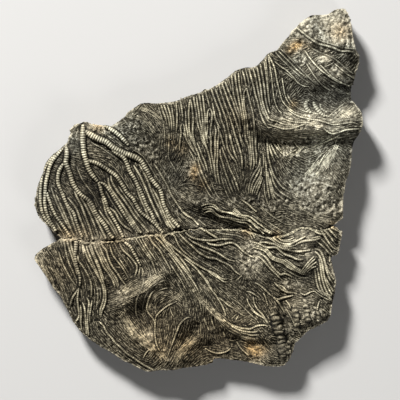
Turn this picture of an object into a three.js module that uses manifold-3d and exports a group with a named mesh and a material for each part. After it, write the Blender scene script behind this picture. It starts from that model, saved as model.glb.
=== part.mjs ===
// A slab of grey-black Jurassic limestone, about 176 x 129 x 16 mm, whose upper face is covered
// by the arms and pinnules of sea lilies (crinoids). It broke right across once and was put
// together again, so it is two stones that meet along the break.
//
// Frame: millimetres, +Z up out of the fossil face, +X right and +Y up across it, origin at the
// centre of the bounding box on the flat underside, on which the slab lies.
//
// Places on the face are given in squares of a find chart: x runs right and y runs down from the
// chart's top left corner, and one square is SQUARE millimetres on the stone.

import * as THREE from "three";
import { mergeVertices } from "three/addons/utils/BufferGeometryUtils.js";
import Module from "manifold-3d";

const LONGEST = 176; // the slab's longest span, from its top right tip to its lower left edge
const THICKEST = 16; // from the underside to the highest ridge
const LONGEST_SQUARES = 420; // the same span, counted on the chart
const SQUARE = LONGEST / LONGEST_SQUARES;

const FACE_LEVEL = 11.3; // height of the face where no swell, lip or hollow shapes it
const FACE_GRID = 2.4; // facet size of the relief
const BREAK_GAP = 0.3; // clearance between the two stones
const RIM_DROP = 1.5; // how far the face falls at the broken rim
const RIM_REACH = 3.2; // how wide that rounding is
const STONE_COLOUR = 0x5f5a4e;

const wasm = await Module();
wasm.setup();

// ---- The outline of each stone ----

// The upper stone's rim, clockwise from the left notch to the right notch.
const UPPER_RIM = [
  [59.4, 236.4], [54, 232], [47, 225], [41, 220], [38, 216], [36, 211], [34, 205], [35, 198],
  [36, 190], [38, 183], [41, 176], [45, 166], [48, 159], [53, 153.5], [59, 150], [62, 146],
  [66, 143], [68, 139], [70, 134], [70.5, 128], [78, 123], [83, 121], [87, 121.5], [91, 123.5],
  [105, 125.5], [111, 125.5], [119, 120], [124, 116], [127, 111.5], [133, 107], [139, 103],
  [144, 102], [157, 103], [173, 101], [179, 99], [191, 94], [200, 92], [204, 88], [208, 89.5],
  [221, 81], [232, 72.5], [237, 69], [244, 67], [253, 66.5], [257, 64.5], [264, 57], [267, 53],
  [277, 49.5], [280, 45], [288, 35.5], [292, 30], [302, 21], [310, 15], [327, 14.5], [334, 9.5],
  [337, 8.8], [344.4, 8.3], [349, 16], [351.5, 32], [353, 42], [355, 49],
  [358.5, 55], [358.5, 62], [355, 76], [351.5, 88], [351, 99], [357.5, 107], [361, 113],
  [362, 123], [360, 131], [354, 141], [351, 152], [350, 168], [346, 180], [343, 196],
  [341.5, 204], [343, 218], [336, 223], [333.4, 224.2],
];

// The lower stone's rim, clockwise from the right notch to the left notch.
const LOWER_RIM = [
  [333.6, 226], [337, 227], [339, 230], [342, 230], [341.5, 236], [339.5, 246], [337.5, 254],
  [330.5, 257], [333, 268], [335.5, 280], [334, 293], [331.5, 306], [330.5, 315], [326, 321],
  [315, 326.5], [308, 330], [304.5, 334], [295, 343], [293.5, 348], [290.5, 357], [284, 365],
  [278, 366.5], [270, 366.5], [254, 363.2], [238, 360.3], [221, 358.5], [213, 358.8], [213, 362.5],
  [206, 364.5], [186, 367], [172, 369.5], [160, 369.5], [152, 371.4], [145, 371.4], [135, 366],
  [129, 362.5], [123, 361], [111, 352.5], [99, 346.5], [87, 337.5], [81, 333], [71.5, 320],
  [66, 308], [60, 296], [54, 289.5], [45, 276], [38, 265.5], [33.5, 259], [34.5, 255], [41, 249],
  [50, 243.5], [59.4, 238.8],
];

// The break, from the left notch to the right notch.
const BREAK = [
  [60, 237.6], [66, 238.6], [73, 237.8], [80, 238.6], [83, 241], [88, 242], [103, 240.5],
  [119, 239], [131, 236.8], [146, 234], [164, 233.2], [172, 232], [180, 229.6], [200, 227],
  [212, 228.4], [236, 228], [247, 230], [257, 233], [267, 236], [287, 233], [292, 229], [301, 226],
  [311, 227.4], [319, 229.2], [326, 227.4], [333, 225.1],
];

const chartXs = [...UPPER_RIM, ...LOWER_RIM].map((p) => p[0]);
const chartYs = [...UPPER_RIM, ...LOWER_RIM].map((p) => p[1]);
const CHART_CENTRE = [
  (Math.min(...chartXs) + Math.max(...chartXs)) / 2,
  (Math.min(...chartYs) + Math.max(...chartYs)) / 2,
];

// A place on the chart as a point of the part's frame.
function onStone([x, y]) {
  return new THREE.Vector2((x - CHART_CENTRE[0]) * SQUARE, (CHART_CENTRE[1] - y) * SQUARE);
}

// ---- The relief of the face ----

// Swells and hollows: a place, how far each reaches along its own two axes, how far it is turned
// anticlockwise in degrees, and its height in millimetres, which is negative for a hollow.
const SWELLS = [
  { name: "dome of the left fan", at: [84, 186], reach: [34, 52], turn: 20, height: 3.4 },
  { name: "foot of the left fan", at: [110, 262], reach: [42, 30], turn: -30, height: 1.0 },
  { name: "trough beside the fan", at: [166, 172], reach: [15, 34], turn: 14, height: -3.1 },
  { name: "curtain of arms", at: [226, 118], reach: [36, 40], turn: 0, height: 1.7 },
  { name: "top right block", at: [328, 34], reach: [30, 22], turn: 0, height: 2.3 },
  { name: "hollow under the block", at: [332, 94], reach: [30, 9], turn: 8, height: -3.1 },
  { name: "hollow under the right ridge", at: [306, 140], reach: [44, 8], turn: 3, height: -2.5 },
  { name: "right flank", at: [338, 172], reach: [14, 26], turn: -20, height: 1.6 },
  { name: "right trough", at: [316, 158], reach: [9, 18], turn: -40, height: -2.0 },
  { name: "rough patch", at: [306, 190], reach: [16, 14], turn: 0, height: 1.6 },
  { name: "hollow above the cord", at: [214, 194], reach: [26, 9], turn: 0, height: -1.4 },
  { name: "hollow below the cord", at: [228, 224], reach: [26, 6], turn: -14, height: -2.2 },
  { name: "pale shoulder", at: [250, 260], reach: [17, 24], turn: 30, height: 2.2 },
  { name: "dark pool", at: [208, 262], reach: [24, 9], turn: -32, height: -2.0 },
  { name: "right fold", at: [300, 258], reach: [20, 10], turn: -18, height: 1.2 },
  { name: "right pool", at: [304, 276], reach: [16, 5], turn: 0, height: -1.6 },
  { name: "lower pool", at: [240, 300], reach: [20, 15], turn: -30, height: -1.7 },
  { name: "stem bank", at: [303, 312], reach: [17, 20], turn: -20, height: 1.3 },
  { name: "groove by the stem", at: [285.5, 316], reach: [4, 20], turn: 8, height: -3.1 },
  { name: "star hollow", at: [139, 313], reach: [9, 12], turn: 0, height: -2.0 },
  { name: "bottom hollow", at: [214, 344], reach: [34, 12], turn: 0, height: -2.5 },
  { name: "bottom left slope", at: [92, 322], reach: [20, 22], turn: -30, height: -1.4 },
  { name: "lower left corner", at: [52, 268], reach: [20, 22], turn: 0, height: -0.8 },
];

// Lips: ridges along a path, from its first place to its last. Facing along the path, a lip falls
// off within `front` squares on the right-hand side and within `back` squares on the left.
const LIPS = [
  {
    name: "right ridge", height: 3.8, front: 4, back: 15,
    path: [[258, 126], [272, 130], [298, 130], [310, 126], [322, 130], [333, 134], [344, 132], [362, 126]],
  },
  {
    name: "edge of the top block", height: 1.7, front: 3, back: 12,
    path: [[296, 32], [306, 39], [322, 47], [335, 52], [360, 53]],
  },
  {
    name: "cord", height: 2.5, front: 3.2, back: 6,
    path: [[192, 202], [206, 206], [226, 215], [248, 220], [262, 230], [276, 240], [290, 243], [312, 239]],
  },
  {
    name: "bottom ridge", height: 2.7, front: 3.5, back: 10,
    path: [[262, 336], [246, 334], [232, 329], [218, 317], [202, 300], [186, 278]].reverse(),
  },
  {
    name: "star ray", height: 2.1, front: 4.5, back: 5,
    path: [[116, 308], [126, 297], [146, 287], [168, 272]],
  },
  {
    name: "star rim", height: 1.8, front: 5, back: 3.5,
    path: [[168, 366], [158, 352], [147, 342], [134, 334], [128, 320], [128, 304], [138, 297]],
  },
  {
    name: "long bottom ridge", height: 2.2, front: 3, back: 6,
    path: [[172, 370], [180, 358], [190, 345], [204, 334]].reverse(),
  },
  {
    name: "inner bottom ridge", height: 1.7, front: 4, back: 4,
    path: [[168, 362], [172, 345], [178, 330], [184, 321], [192, 318]].reverse(),
  },
];

function swellHeight(p, { at, reach, turn, height }) {
  const d = p.clone().sub(onStone(at)).rotateAround(new THREE.Vector2(), (-turn * Math.PI) / 180);
  const u = d.x / (reach[0] * SQUARE);
  const v = d.y / (reach[1] * SQUARE);
  return height * Math.exp(-(u * u + v * v) / 2);
}

// How far p lies from the path, positive on its left-hand side.
function sideOf(p, path) {
  let nearest = Infinity;
  let side = 1;
  for (let i = 0; i + 1 < path.length; i++) {
    const a = path[i];
    const along = path[i + 1].clone().sub(a);
    const t = THREE.MathUtils.clamp(p.clone().sub(a).dot(along) / along.lengthSq(), 0, 1);
    const off = p.clone().sub(a).addScaledVector(along, -t);
    if (off.length() < nearest) {
      nearest = off.length();
      side = along.cross(off) >= 0 ? 1 : -1;
    }
  }
  return nearest * side;
}

function lipHeight(p, { places, height, front, back }) {
  const off = sideOf(p, places);
  const reach = (off > 0 ? back : front) * SQUARE;
  return height * Math.exp(-((off / reach) ** 2) / 2);
}

// The grain of the broken stone, from -1 to 1: three crossed waves that don't line up.
function grain(x, y) {
  return (
    (Math.sin(0.71 * x + 1.3 * y) + Math.sin(1.93 * x - 0.57 * y + 1.7) + Math.sin(-0.9 * x + 2.4 * y + 4.1)) / 3
  );
}

const GRAIN_HEIGHT = 0.16;
const lipsOnStone = LIPS.map((lip) => ({ ...lip, places: lip.path.map(onStone) }));
const rimOnStone = [...UPPER_RIM, ...LOWER_RIM, UPPER_RIM[0]].map(onStone);

function faceHeight(x, y) {
  const p = new THREE.Vector2(x, y);
  let z = FACE_LEVEL + GRAIN_HEIGHT * grain(x, y);
  for (const swell of SWELLS) z += swellHeight(p, swell);
  for (const lip of lipsOnStone) z += lipHeight(p, lip);
  return z - RIM_DROP * Math.exp(-((sideOf(p, rimOnStone) / RIM_REACH) ** 2) * 2);
}

// ---- The two stones ----

// A closed geometry as a solid that can be cut and joined.
function solidOf(geometry) {
  geometry.deleteAttribute("normal");
  geometry.deleteAttribute("uv");
  const merged = mergeVertices(geometry, 1e-4);
  return new wasm.Manifold(
    new wasm.Mesh({
      numProp: 3,
      vertProperties: merged.attributes.position.array,
      triVerts: new Uint32Array(merged.index.array),
    }),
  );
}

function geometryOf(solid) {
  const { vertProperties, triVerts } = solid.getMesh();
  const geometry = new THREE.BufferGeometry();
  geometry.setAttribute("position", new THREE.BufferAttribute(vertProperties, 3));
  geometry.setIndex(new THREE.BufferAttribute(triVerts, 1));
  geometry.computeVertexNormals();
  return geometry;
}

// A block whose top is the relief and whose underside lies below the slab.
function reliefBlock() {
  const width = (Math.max(...chartXs) - Math.min(...chartXs)) * SQUARE + 2 * FACE_GRID;
  const depth = (Math.max(...chartYs) - Math.min(...chartYs)) * SQUARE + 2 * FACE_GRID;
  const block = new THREE.BoxGeometry(
    width, depth, THICKEST,
    Math.round(width / FACE_GRID), Math.round(depth / FACE_GRID), 1,
  );
  const places = block.attributes.position;
  for (let i = 0; i < places.count; i++) {
    if (places.getZ(i) > 0) places.setZ(i, faceHeight(places.getX(i), places.getY(i)));
  }
  return solidOf(block);
}

// The broken sides: how far in from the outline each level lies. The underside is undercut most,
// and no two corners are undercut alike.
const SIDE_LEVELS = [
  { z: 0, inset: 1.7, uneven: 0.8 },
  { z: 2.2, inset: 0.8, uneven: 0.6 },
  { z: 5.5, inset: 0.4, uneven: 0.4 },
  { z: 8.5, inset: 0, uneven: 0 },
  { z: THICKEST + 2, inset: 0, uneven: 0 },
];

// The outline as a ring of places at one level. Corners on the break stay in line, so that the
// two stones meet face to face.
function sideRing(outline, onBreak, { z, inset, uneven }) {
  return outline.map((p, i) => {
    if (onBreak[i]) return new THREE.Vector3(p.x, p.y, z);
    const before = outline.at(i - 1);
    const after = outline[(i + 1) % outline.length];
    const inward = after.clone().sub(before).normalize().rotateAround(new THREE.Vector2(), Math.PI / 2);
    const depth = inset + uneven * grain(p.x * 0.9, p.y * 0.9 + z);
    return new THREE.Vector3(p.x + inward.x * depth, p.y + inward.y * depth, z);
  });
}

function prism(outline, onBreak) {
  const rings = SIDE_LEVELS.map((level) => sideRing(outline, onBreak, level));
  const count = outline.length;
  const faces = [];
  for (let level = 0; level + 1 < rings.length; level++) {
    for (let i = 0; i < count; i++) {
      const a = level * count + i;
      const b = level * count + ((i + 1) % count);
      faces.push(a, b, b + count, a, b + count, a + count);
    }
  }
  const cap = (ring) => THREE.ShapeUtils.triangulateShape(ring.map((v) => new THREE.Vector2(v.x, v.y)), []);
  const top = (rings.length - 1) * count;
  for (const [a, b, c] of cap(rings[0])) faces.push(c, b, a);
  for (const [a, b, c] of cap(rings.at(-1))) faces.push(top + a, top + b, top + c);
  const geometry = new THREE.BufferGeometry().setFromPoints(rings.flat());
  geometry.setIndex(faces);
  return solidOf(geometry);
}

// One stone: its outline runs anticlockwise, seen from above, along its rim and back along the break.
function stone(name, rim, breakLine, breakShift, relief) {
  const shift = new THREE.Vector2(0, breakShift);
  const places = [...rim.map(onStone), ...breakLine.map((p) => onStone(p).add(shift))].reverse();
  const onBreak = [...rim.map(() => false), ...breakLine.map(() => true)].reverse();
  onBreak[onBreak.lastIndexOf(false)] = true;
  onBreak[onBreak.indexOf(false)] = true;
  const material = new THREE.MeshStandardMaterial({ color: STONE_COLOUR, roughness: 0.7, metalness: 0.1 });
  const mesh = new THREE.Mesh(geometryOf(prism(places, onBreak).intersect(relief)), material);
  mesh.name = name;
  return mesh;
}

const relief = reliefBlock();
const slab = new THREE.Group();
slab.add(stone("upper_stone", UPPER_RIM, [...BREAK].reverse(), BREAK_GAP / 2, relief));
slab.add(stone("lower_stone", LOWER_RIM, BREAK, -BREAK_GAP / 2, relief));

export default slab;
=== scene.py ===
import bpy, math, random
from contextlib import contextmanager
import numpy as np
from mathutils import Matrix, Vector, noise
from mathutils.bvhtree import BVHTree


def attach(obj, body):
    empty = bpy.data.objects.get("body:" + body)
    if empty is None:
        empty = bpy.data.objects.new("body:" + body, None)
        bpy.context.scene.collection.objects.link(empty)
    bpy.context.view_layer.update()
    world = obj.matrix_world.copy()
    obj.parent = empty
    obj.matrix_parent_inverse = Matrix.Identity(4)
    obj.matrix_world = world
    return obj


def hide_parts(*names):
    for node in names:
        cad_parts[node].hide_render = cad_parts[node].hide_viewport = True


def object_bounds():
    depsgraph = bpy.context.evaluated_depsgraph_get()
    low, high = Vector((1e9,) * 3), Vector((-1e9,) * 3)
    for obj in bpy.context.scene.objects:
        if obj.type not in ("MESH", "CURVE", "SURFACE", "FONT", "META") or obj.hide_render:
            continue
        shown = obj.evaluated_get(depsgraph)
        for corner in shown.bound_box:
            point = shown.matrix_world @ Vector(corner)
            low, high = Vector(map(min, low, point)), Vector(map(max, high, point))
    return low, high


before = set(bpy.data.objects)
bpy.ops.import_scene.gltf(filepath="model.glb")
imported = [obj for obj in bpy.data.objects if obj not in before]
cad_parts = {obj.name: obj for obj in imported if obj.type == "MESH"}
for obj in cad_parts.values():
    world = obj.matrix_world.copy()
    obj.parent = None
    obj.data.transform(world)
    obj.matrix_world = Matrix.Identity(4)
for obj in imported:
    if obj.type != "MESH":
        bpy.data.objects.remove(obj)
cad_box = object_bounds()


# ---- The two stones ----
# One slab of grey-black limestone, broken right across and fitted together again: an upper and a
# lower stone. The fossil face is etched and worn between the sea lilies' arms, the sides are
# rough broken rock, and the underside is flat.

STONE_GRAIN = 0.00046  # how finely the stone's surface is worked
SAME_PLACE = 0.00002  # corners nearer than this are one
FACE_FROM, FACE_SLOPE = 0.0075, 0.6  # stone that is higher and more level than this is worn
FACE_SINK = 0.0009  # the stone lies this much lower between the arms than on their crests
SINK_FROM, SINK_RUN = 0.006, 0.003  # the sinking starts at this height and is full this far above
SIDE_ROUGHNESS, FACE_ROUGHNESS = 0.0005, 0.00022
CLUMPS = 0.00040  # the height of the lumps on the face
CRUMBLE, BARE_CRUMBLE = 0.00014, 0.0007  # the height of its crumbs, and how much more where bare
BARE_RISE = 0.0002
UNDERSIDE = 0.0004  # the stone is cut flat at this height, and the cut is set down to nought
UNDERSIDE_RUN = 0.002  # above the cut, the roughness comes in over this height

# Places are counted in the squares of a grid over the slab's face, 420 to its longest span.
SQUARE = 0.176 / 420
GRID_CENTRE = (197.75, 189.85)

# Where the stone is bare and rough: a place on the grid and its reach along and across.
BARE = [
    (326, 26, 30, 17), (344, 38, 10, 14), (312, 182, 12, 9), (330, 206, 16, 8), (250, 258, 10, 16),
    (76, 131, 9, 8), (293, 47, 9, 6), (284, 338, 7, 20), (316, 318, 12, 8), (190, 168, 6, 10),
    (96, 129, 12, 4), (282, 198, 8, 4), (134, 122, 9, 8), (140, 143, 10, 7), (114, 132, 10, 6),
    (152, 150, 6, 9), (310, 186, 20, 11), (320, 206, 20, 8), (288, 150, 12, 6), (204, 200, 14, 4),
    (244, 201, 16, 4), (270, 206, 10, 4), (298, 246, 12, 6), (292, 284, 12, 4), (256, 352, 8, 7),
    (122, 292, 5, 8), (150, 336, 5, 5), (318, 316, 8, 8), (322, 60, 5, 4), (334, 70, 8, 4),
    (280, 120, 12, 4), (306, 127, 16, 3), (345, 118, 8, 6), (300, 60, 6, 5), (344, 82, 8, 4),
    (158, 350, 6, 4),
]


def on_stone(x, y):
    """A place on the grid, in metres."""
    return (x - GRID_CENTRE[0]) * SQUARE, (GRID_CENTRE[1] - y) * SQUARE


def bareness(x, y):
    """How bare the stone is at each place, from 0 to 1."""
    total = np.zeros(np.shape(x))
    for place_x, place_y, along, across in BARE:
        px, py = on_stone(place_x, place_y)
        far = ((x - px) / (along * SQUARE)) ** 2 + ((y - py) / (across * SQUARE)) ** 2
        total = np.maximum(total, np.clip(1.6 - 0.8 * far, 0, 1))
    return total


def only(*pieces):
    """These objects are selected, and the first is active."""
    bpy.ops.object.select_all(action="DESELECT")
    for piece in pieces:
        piece.select_set(True)
    bpy.context.view_layer.objects.active = pieces[0]


def vertices_of(piece):
    places = np.empty(len(piece.data.vertices) * 3)
    piece.data.vertices.foreach_get("co", places)
    return places.reshape(-1, 3)


def normals_of(piece):
    normals = np.empty(len(piece.data.vertices) * 3)
    piece.data.vertices.foreach_get("normal", normals)
    return normals.reshape(-1, 3)


def put_vertices(piece, places):
    piece.data.vertices.foreach_set("co", places.ravel())
    piece.data.update()


def rounded(piece):
    """The piece is shaded smooth."""
    piece.data.polygons.foreach_set("use_smooth", [True] * len(piece.data.polygons))


@contextmanager
def shaping():
    """What follows shapes the active object in edit mode, with all of it selected."""
    bpy.ops.object.mode_set(mode="EDIT")
    bpy.ops.mesh.select_all(action="SELECT")
    yield
    bpy.ops.object.mode_set(mode="OBJECT")


def apply_all(piece):
    only(piece)
    for modifier in list(piece.modifiers):
        bpy.ops.object.modifier_apply(modifier=modifier.name)


def ripples(places, waves, shift=(0, 0, 0)):
    """Smooth unevenness at each place, from -1 to 1, with so many waves to the metre."""
    return np.array([noise.noise(place) for place in (places * waves + shift).tolist()])


def flat_ripples(places, waves, level):
    """Ripples that are the same at any height."""
    return ripples(places, (waves, waves, 0), (0, 0, level))


def broken_stone(node, name):
    """One of the two stones, with a worn face, rough sides and a flat underside."""
    stone = bpy.data.objects.new(name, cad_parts[node].data.copy())
    bpy.context.collection.objects.link(stone)
    only(stone)
    with shaping():
        bpy.ops.mesh.remove_doubles(threshold=SAME_PLACE)
    remesh = stone.modifiers.new("grain", "REMESH")
    remesh.mode, remesh.voxel_size = "VOXEL", STONE_GRAIN
    apply_all(stone)
    places, normals = vertices_of(stone), normals_of(stone)
    level = (places[:, 2] > FACE_FROM) & (normals[:, 2] > FACE_SLOPE)
    face = stone.vertex_groups.new(name="face")
    face.add([int(i) for i in np.nonzero(level)[0]], 1.0, "REPLACE")
    smooth = stone.modifiers.new("worn", "SMOOTH")
    smooth.factor, smooth.iterations, smooth.vertex_group = 0.6, 9, "face"
    apply_all(stone)
    stone.vertex_groups.clear()
    places, normals = vertices_of(stone), normals_of(stone)
    up = np.clip(normals[:, 2], 0, 1)
    sunk = FACE_SINK * np.clip((places[:, 2] - SINK_FROM) / SINK_RUN, 0, 1) * up
    rough = SIDE_ROUGHNESS * (1 - up) + FACE_ROUGHNESS * up
    swell = (0.62 * ripples(places, (210, 210, 260)) + 0.30 * ripples(places, 620, (7, 0, 0))
             + 0.20 * ripples(places, 1300, (0, 3, 0)))
    clump = flat_ripples(places, 300, 4.2) + 0.7 * flat_ripples(places, 620, 9.1)
    crumbly = 0.7 * flat_ripples(places, 420, 1.1) + 1.0 * flat_ripples(places, 900, 5.3)
    bare = bareness(places[:, 0], places[:, 1])
    inward = np.minimum(swell * rough - 0.15 * rough, 0.35 * rough)
    inward += up * (CLUMPS * clump + CRUMBLE * crumbly + bare * (BARE_CRUMBLE * crumbly + BARE_RISE))
    above = np.clip((places[:, 2] - UNDERSIDE) / UNDERSIDE_RUN, 0, 1)
    places += normals * (inward * above)[:, None]
    places[:, 2] -= sunk
    put_vertices(stone, places)
    only(stone)
    with shaping():
        bpy.ops.mesh.bisect(plane_co=(0, 0, UNDERSIDE), plane_no=(0, 0, 1), clear_inner=True,
                            use_fill=True)
    places = vertices_of(stone)
    places[places[:, 2] < UNDERSIDE * 1.01, 2] = 0
    put_vertices(stone, places)
    rounded(stone)
    return stone


upper_rock = broken_stone("upper_stone", "upper_rock")
lower_rock = broken_stone("lower_stone", "lower_rock")

# The face of both stones as a survey of heights, for everything that lies on it.
SURVEY = 0.0004  # from one reading to the next
SURVEY_FROM = 0.03  # the readings are taken downwards from this height
FACE_LEAST = 0.004  # no part of the face is lower
RIM_HEIGHT = 0.008  # taken for what is well outside the slab
PAST_RIM = 8  # the survey runs on past each rim by this many readings
UPPER, LOWER = 1, 2
survey_x = np.arange(cad_box[0][0], cad_box[1][0], SURVEY)
survey_y = np.arange(cad_box[0][1], cad_box[1][1], SURVEY)
survey_z = np.full((len(survey_x), len(survey_y)), np.nan)
which_stone = np.zeros(survey_z.shape, int)
for number, rock in ((UPPER, upper_rock), (LOWER, lower_rock)):
    surface = BVHTree.FromObject(rock, bpy.context.evaluated_depsgraph_get())
    for i, x in enumerate(survey_x):
        for j, y in enumerate(survey_y):
            hit = surface.ray_cast((x, y, SURVEY_FROM), (0, 0, -1), SURVEY_FROM - FACE_LEAST)[0]
            if hit is not None and hit[2] > FACE_LEAST:
                survey_z[i, j], which_stone[i, j] = hit[2], number
for _ in range(PAST_RIM):
    padded = np.pad(survey_z, 1, constant_values=np.nan)
    beside = np.stack([padded[1:-1, 2:], padded[1:-1, :-2], padded[2:, 1:-1], padded[:-2, 1:-1]])
    known = ~np.isnan(beside)
    mean = np.where(known, beside, 0).sum(0) / np.maximum(known.sum(0), 1)
    survey_z = np.where(np.isnan(survey_z) & known.any(0), mean, survey_z)
survey_z = np.where(np.isnan(survey_z), RIM_HEIGHT, survey_z)


def height_at(x, y):
    """The height of the stone's face at each place, in metres."""
    u = np.clip((x - survey_x[0]) / SURVEY, 0, len(survey_x) - 1.001)
    v = np.clip((y - survey_y[0]) / SURVEY, 0, len(survey_y) - 1.001)
    i, j = u.astype(int), v.astype(int)
    u, v = u - i, v - j
    return ((1 - u) * (1 - v) * survey_z[i, j] + u * (1 - v) * survey_z[i + 1, j]
            + (1 - u) * v * survey_z[i, j + 1] + u * v * survey_z[i + 1, j + 1])


def stone_at(x, y):
    """Which stone carries each place: UPPER, LOWER, or 0 for none."""
    i = np.rint((np.asarray(x) - survey_x[0]) / SURVEY).astype(int)
    j = np.rint((np.asarray(y) - survey_y[0]) / SURVEY).astype(int)
    inside = (i >= 0) & (i < len(survey_x)) & (j >= 0) & (j < len(survey_y))
    return np.where(inside, which_stone[i * inside, j * inside], 0)


def linear(r, g, b):
    """A colour given in the steps of a screen, 0 to 255, as light."""
    return tuple((v / 255 / 12.92 if v < 10 else ((v / 255 + 0.055) / 1.055) ** 2.4)
                 for v in (r, g, b)) + (1,)


# What the tones are made of: waves to the metre for each grain, and the colours of the stains. The cream
# also colours the painted highlight on the rim.
SPECKS, MOTTLES, WORN_PATCHES, BROAD_TONES = 1900.0, 760.0, 230.0, 70.0
CREAM_CLAY_AND_RIM_LIGHT = linear(220, 209, 182)
COOL_TINT, RUST_TINT = (0.89, 0.98, 1.11, 1), (1.25, 0.88, 0.46, 1)


def fossil_group():
    """Painted shade in crevices and highlight on crests, stains, the painted shade and light laid over
    the slab, and grain made into a colour, a roughness and a height.
    """
    group = bpy.data.node_groups.new("fossil_tones", "ShaderNodeTree")
    for way, kind, names in (
            ("INPUT", "NodeSocketColor", ("Crevice shade", "Flank", "Crest")),
            ("INPUT", "NodeSocketFloat", ("Crest mask", "Tone", "Grain size", "Grain", "Wear",
                                          "Cream", "Rust", "Painted light and shade", "Cool")),
            ("OUTPUT", "NodeSocketColor", ("Colour",)),
            ("OUTPUT", "NodeSocketFloat", ("Roughness", "Height"))):
        for name in names:
            group.interface.new_socket(name, in_out=way, socket_type=kind)
    nodes, links = group.nodes, group.links
    given, out = nodes.new("NodeGroupInput").outputs, nodes.new("NodeGroupOutput").inputs

    def feed(sockets, values):
        for socket, what in zip(sockets, values):
            if isinstance(what, (int, float, tuple)):
                socket.default_value = what
            else:
                links.new(what, socket)

    def value(operation, a, b, clamp):
        node = nodes.new("ShaderNodeMath")
        node.operation, node.use_clamp = operation, clamp
        feed(node.inputs, (a, b))
        return node.outputs[0]

    def plus(a, b, clamp=False):
        return value("ADD", a, b, clamp)

    def less(a, b, clamp=False):
        return value("SUBTRACT", a, b, clamp)

    def times(a, b, clamp=False):
        return value("MULTIPLY", a, b, clamp)

    def mixed(kind, amount, a, b):
        node = nodes.new("ShaderNodeMix")
        node.data_type, node.blend_type = "RGBA", kind
        feed((node.inputs[0], node.inputs[6], node.inputs[7]), (amount, a, b))
        return node.outputs[2]

    where = nodes.new("ShaderNodeTexCoord").outputs["Object"]

    def grain(waves, detail, rough=0.6):
        node = nodes.new("ShaderNodeTexNoise")
        feed([node.inputs[name] for name in ("Vector", "Scale", "Detail", "Roughness")],
             (where, waves, detail, rough))
        return node.outputs["Fac"]

    fine, speck = grain(given["Grain size"], 3.0, 0.7), grain(SPECKS, 3.0)
    mottled = less(plus(fine, times(grain(MOTTLES, 3.0), 1.4)), 1.2)
    uneven = times(times(mottled, given["Grain"]), plus(0.25, given["Crest mask"]))
    worn = plus(1.0, times(less(grain(WORN_PATCHES, 3.0), 0.5), given["Wear"]))
    mask = plus(times(given["Crest mask"], worn), uneven, True)
    # The mask runs from painted shade at the foot of a crevice, through the flank, to a painted highlight
    # on the crests.
    low = mixed("MIX", times(mask, 2.0, True), given["Crevice shade"], given["Flank"])
    colour = mixed("MIX", less(times(mask, 2.0), 1.0, True), low, given["Crest"])
    cool = mixed("MULTIPLY", given["Cool"], colour, COOL_TINT)
    creamy = times(given["Cream"], plus(0.06, times(mask, 0.94)))
    cream = mixed("MIX", times(creamy, 0.75), cool, CREAM_CLAY_AND_RIM_LIGHT)
    rusty = times(given["Rust"], plus(fine, 0.25, True))
    rust = mixed("MULTIPLY", rusty, cream, RUST_TINT)
    bright = times(plus(1.0, times(given["Tone"], 0.45)),
                   plus(0.72, times(grain(BROAD_TONES, 4.0, 0.55), 0.56)))
    bright = times(bright, plus(0.12, times(speck, 1.76)))
    # Painted shade makes it darker, and painted light, below nought, makes it brighter.
    bright = times(bright, less(1.0, times(given["Painted light and shade"], 0.7)))
    shade = nodes.new("ShaderNodeVectorMath")
    shade.operation = "SCALE"
    feed((shade.inputs[0], shade.inputs["Scale"]), (rust, bright))
    links.new(shade.outputs[0], out["Colour"])
    links.new(plus(times(fine, 0.35), less(0.52, times(mask, 0.14))), out["Roughness"])
    links.new(plus(fine, times(speck, 0.5)), out["Height"])
    return group


fossil_tones = fossil_group()


def fossil_material(name, foot, flank, crest_light, grain_size, grain, wear, bump, shine):
    """Stone or calcite, from painted shade in its crevices through its flanks to its crests, which are
    worn pale and carry a painted highlight.
    """
    material = bpy.data.materials.new(name)
    material.use_nodes = True
    nodes, links = material.node_tree.nodes, material.node_tree.links
    shader = nodes["Principled BSDF"]
    tones = nodes.new("ShaderNodeGroup")
    tones.node_tree = fossil_tones
    for socket, what in (("Crevice shade", foot), ("Flank", flank), ("Crest", crest_light),
                         ("Grain size", grain_size), ("Grain", grain), ("Wear", wear)):
        tones.inputs[socket].default_value = what
    for socket, mark in (("Crest mask", "crest_light"), ("Tone", "tone"), ("Cream", "cream"),
                         ("Rust", "rust"), ("Painted light and shade", "dark"), ("Cool", "cool")):
        node = nodes.new("ShaderNodeAttribute")
        node.attribute_name = mark
        links.new(node.outputs["Fac"], tones.inputs[socket])
    relief = nodes.new("ShaderNodeBump")
    relief.inputs["Strength"].default_value = 0.9
    relief.inputs["Distance"].default_value = bump
    links.new(tones.outputs["Height"], relief.inputs["Height"])
    links.new(relief.outputs["Normal"], shader.inputs["Normal"])
    links.new(tones.outputs["Colour"], shader.inputs["Base Color"])
    links.new(tones.outputs["Roughness"], shader.inputs["Roughness"])
    shader.inputs["Specular IOR Level"].default_value = shine
    return material


# The first colour is painted shade for crevices, the last the pale of worn crests with a painted
# highlight.
slab_rock = fossil_material("slab_rock", linear(9, 8, 6), linear(66, 61, 48),
                            linear(204, 195, 170), 1300.0, 1.9, 1.2, 0.00110, 0.12)


def dressed(piece, material):
    """The piece gets its material, and rides with the slab."""
    piece.data.materials.clear()
    piece.data.materials.append(material)
    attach(piece, "root")


for rock, node in ((upper_rock, "upper_stone"), (lower_rock, "lower_stone")):
    dressed(rock, slab_rock)
    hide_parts(node)
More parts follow.
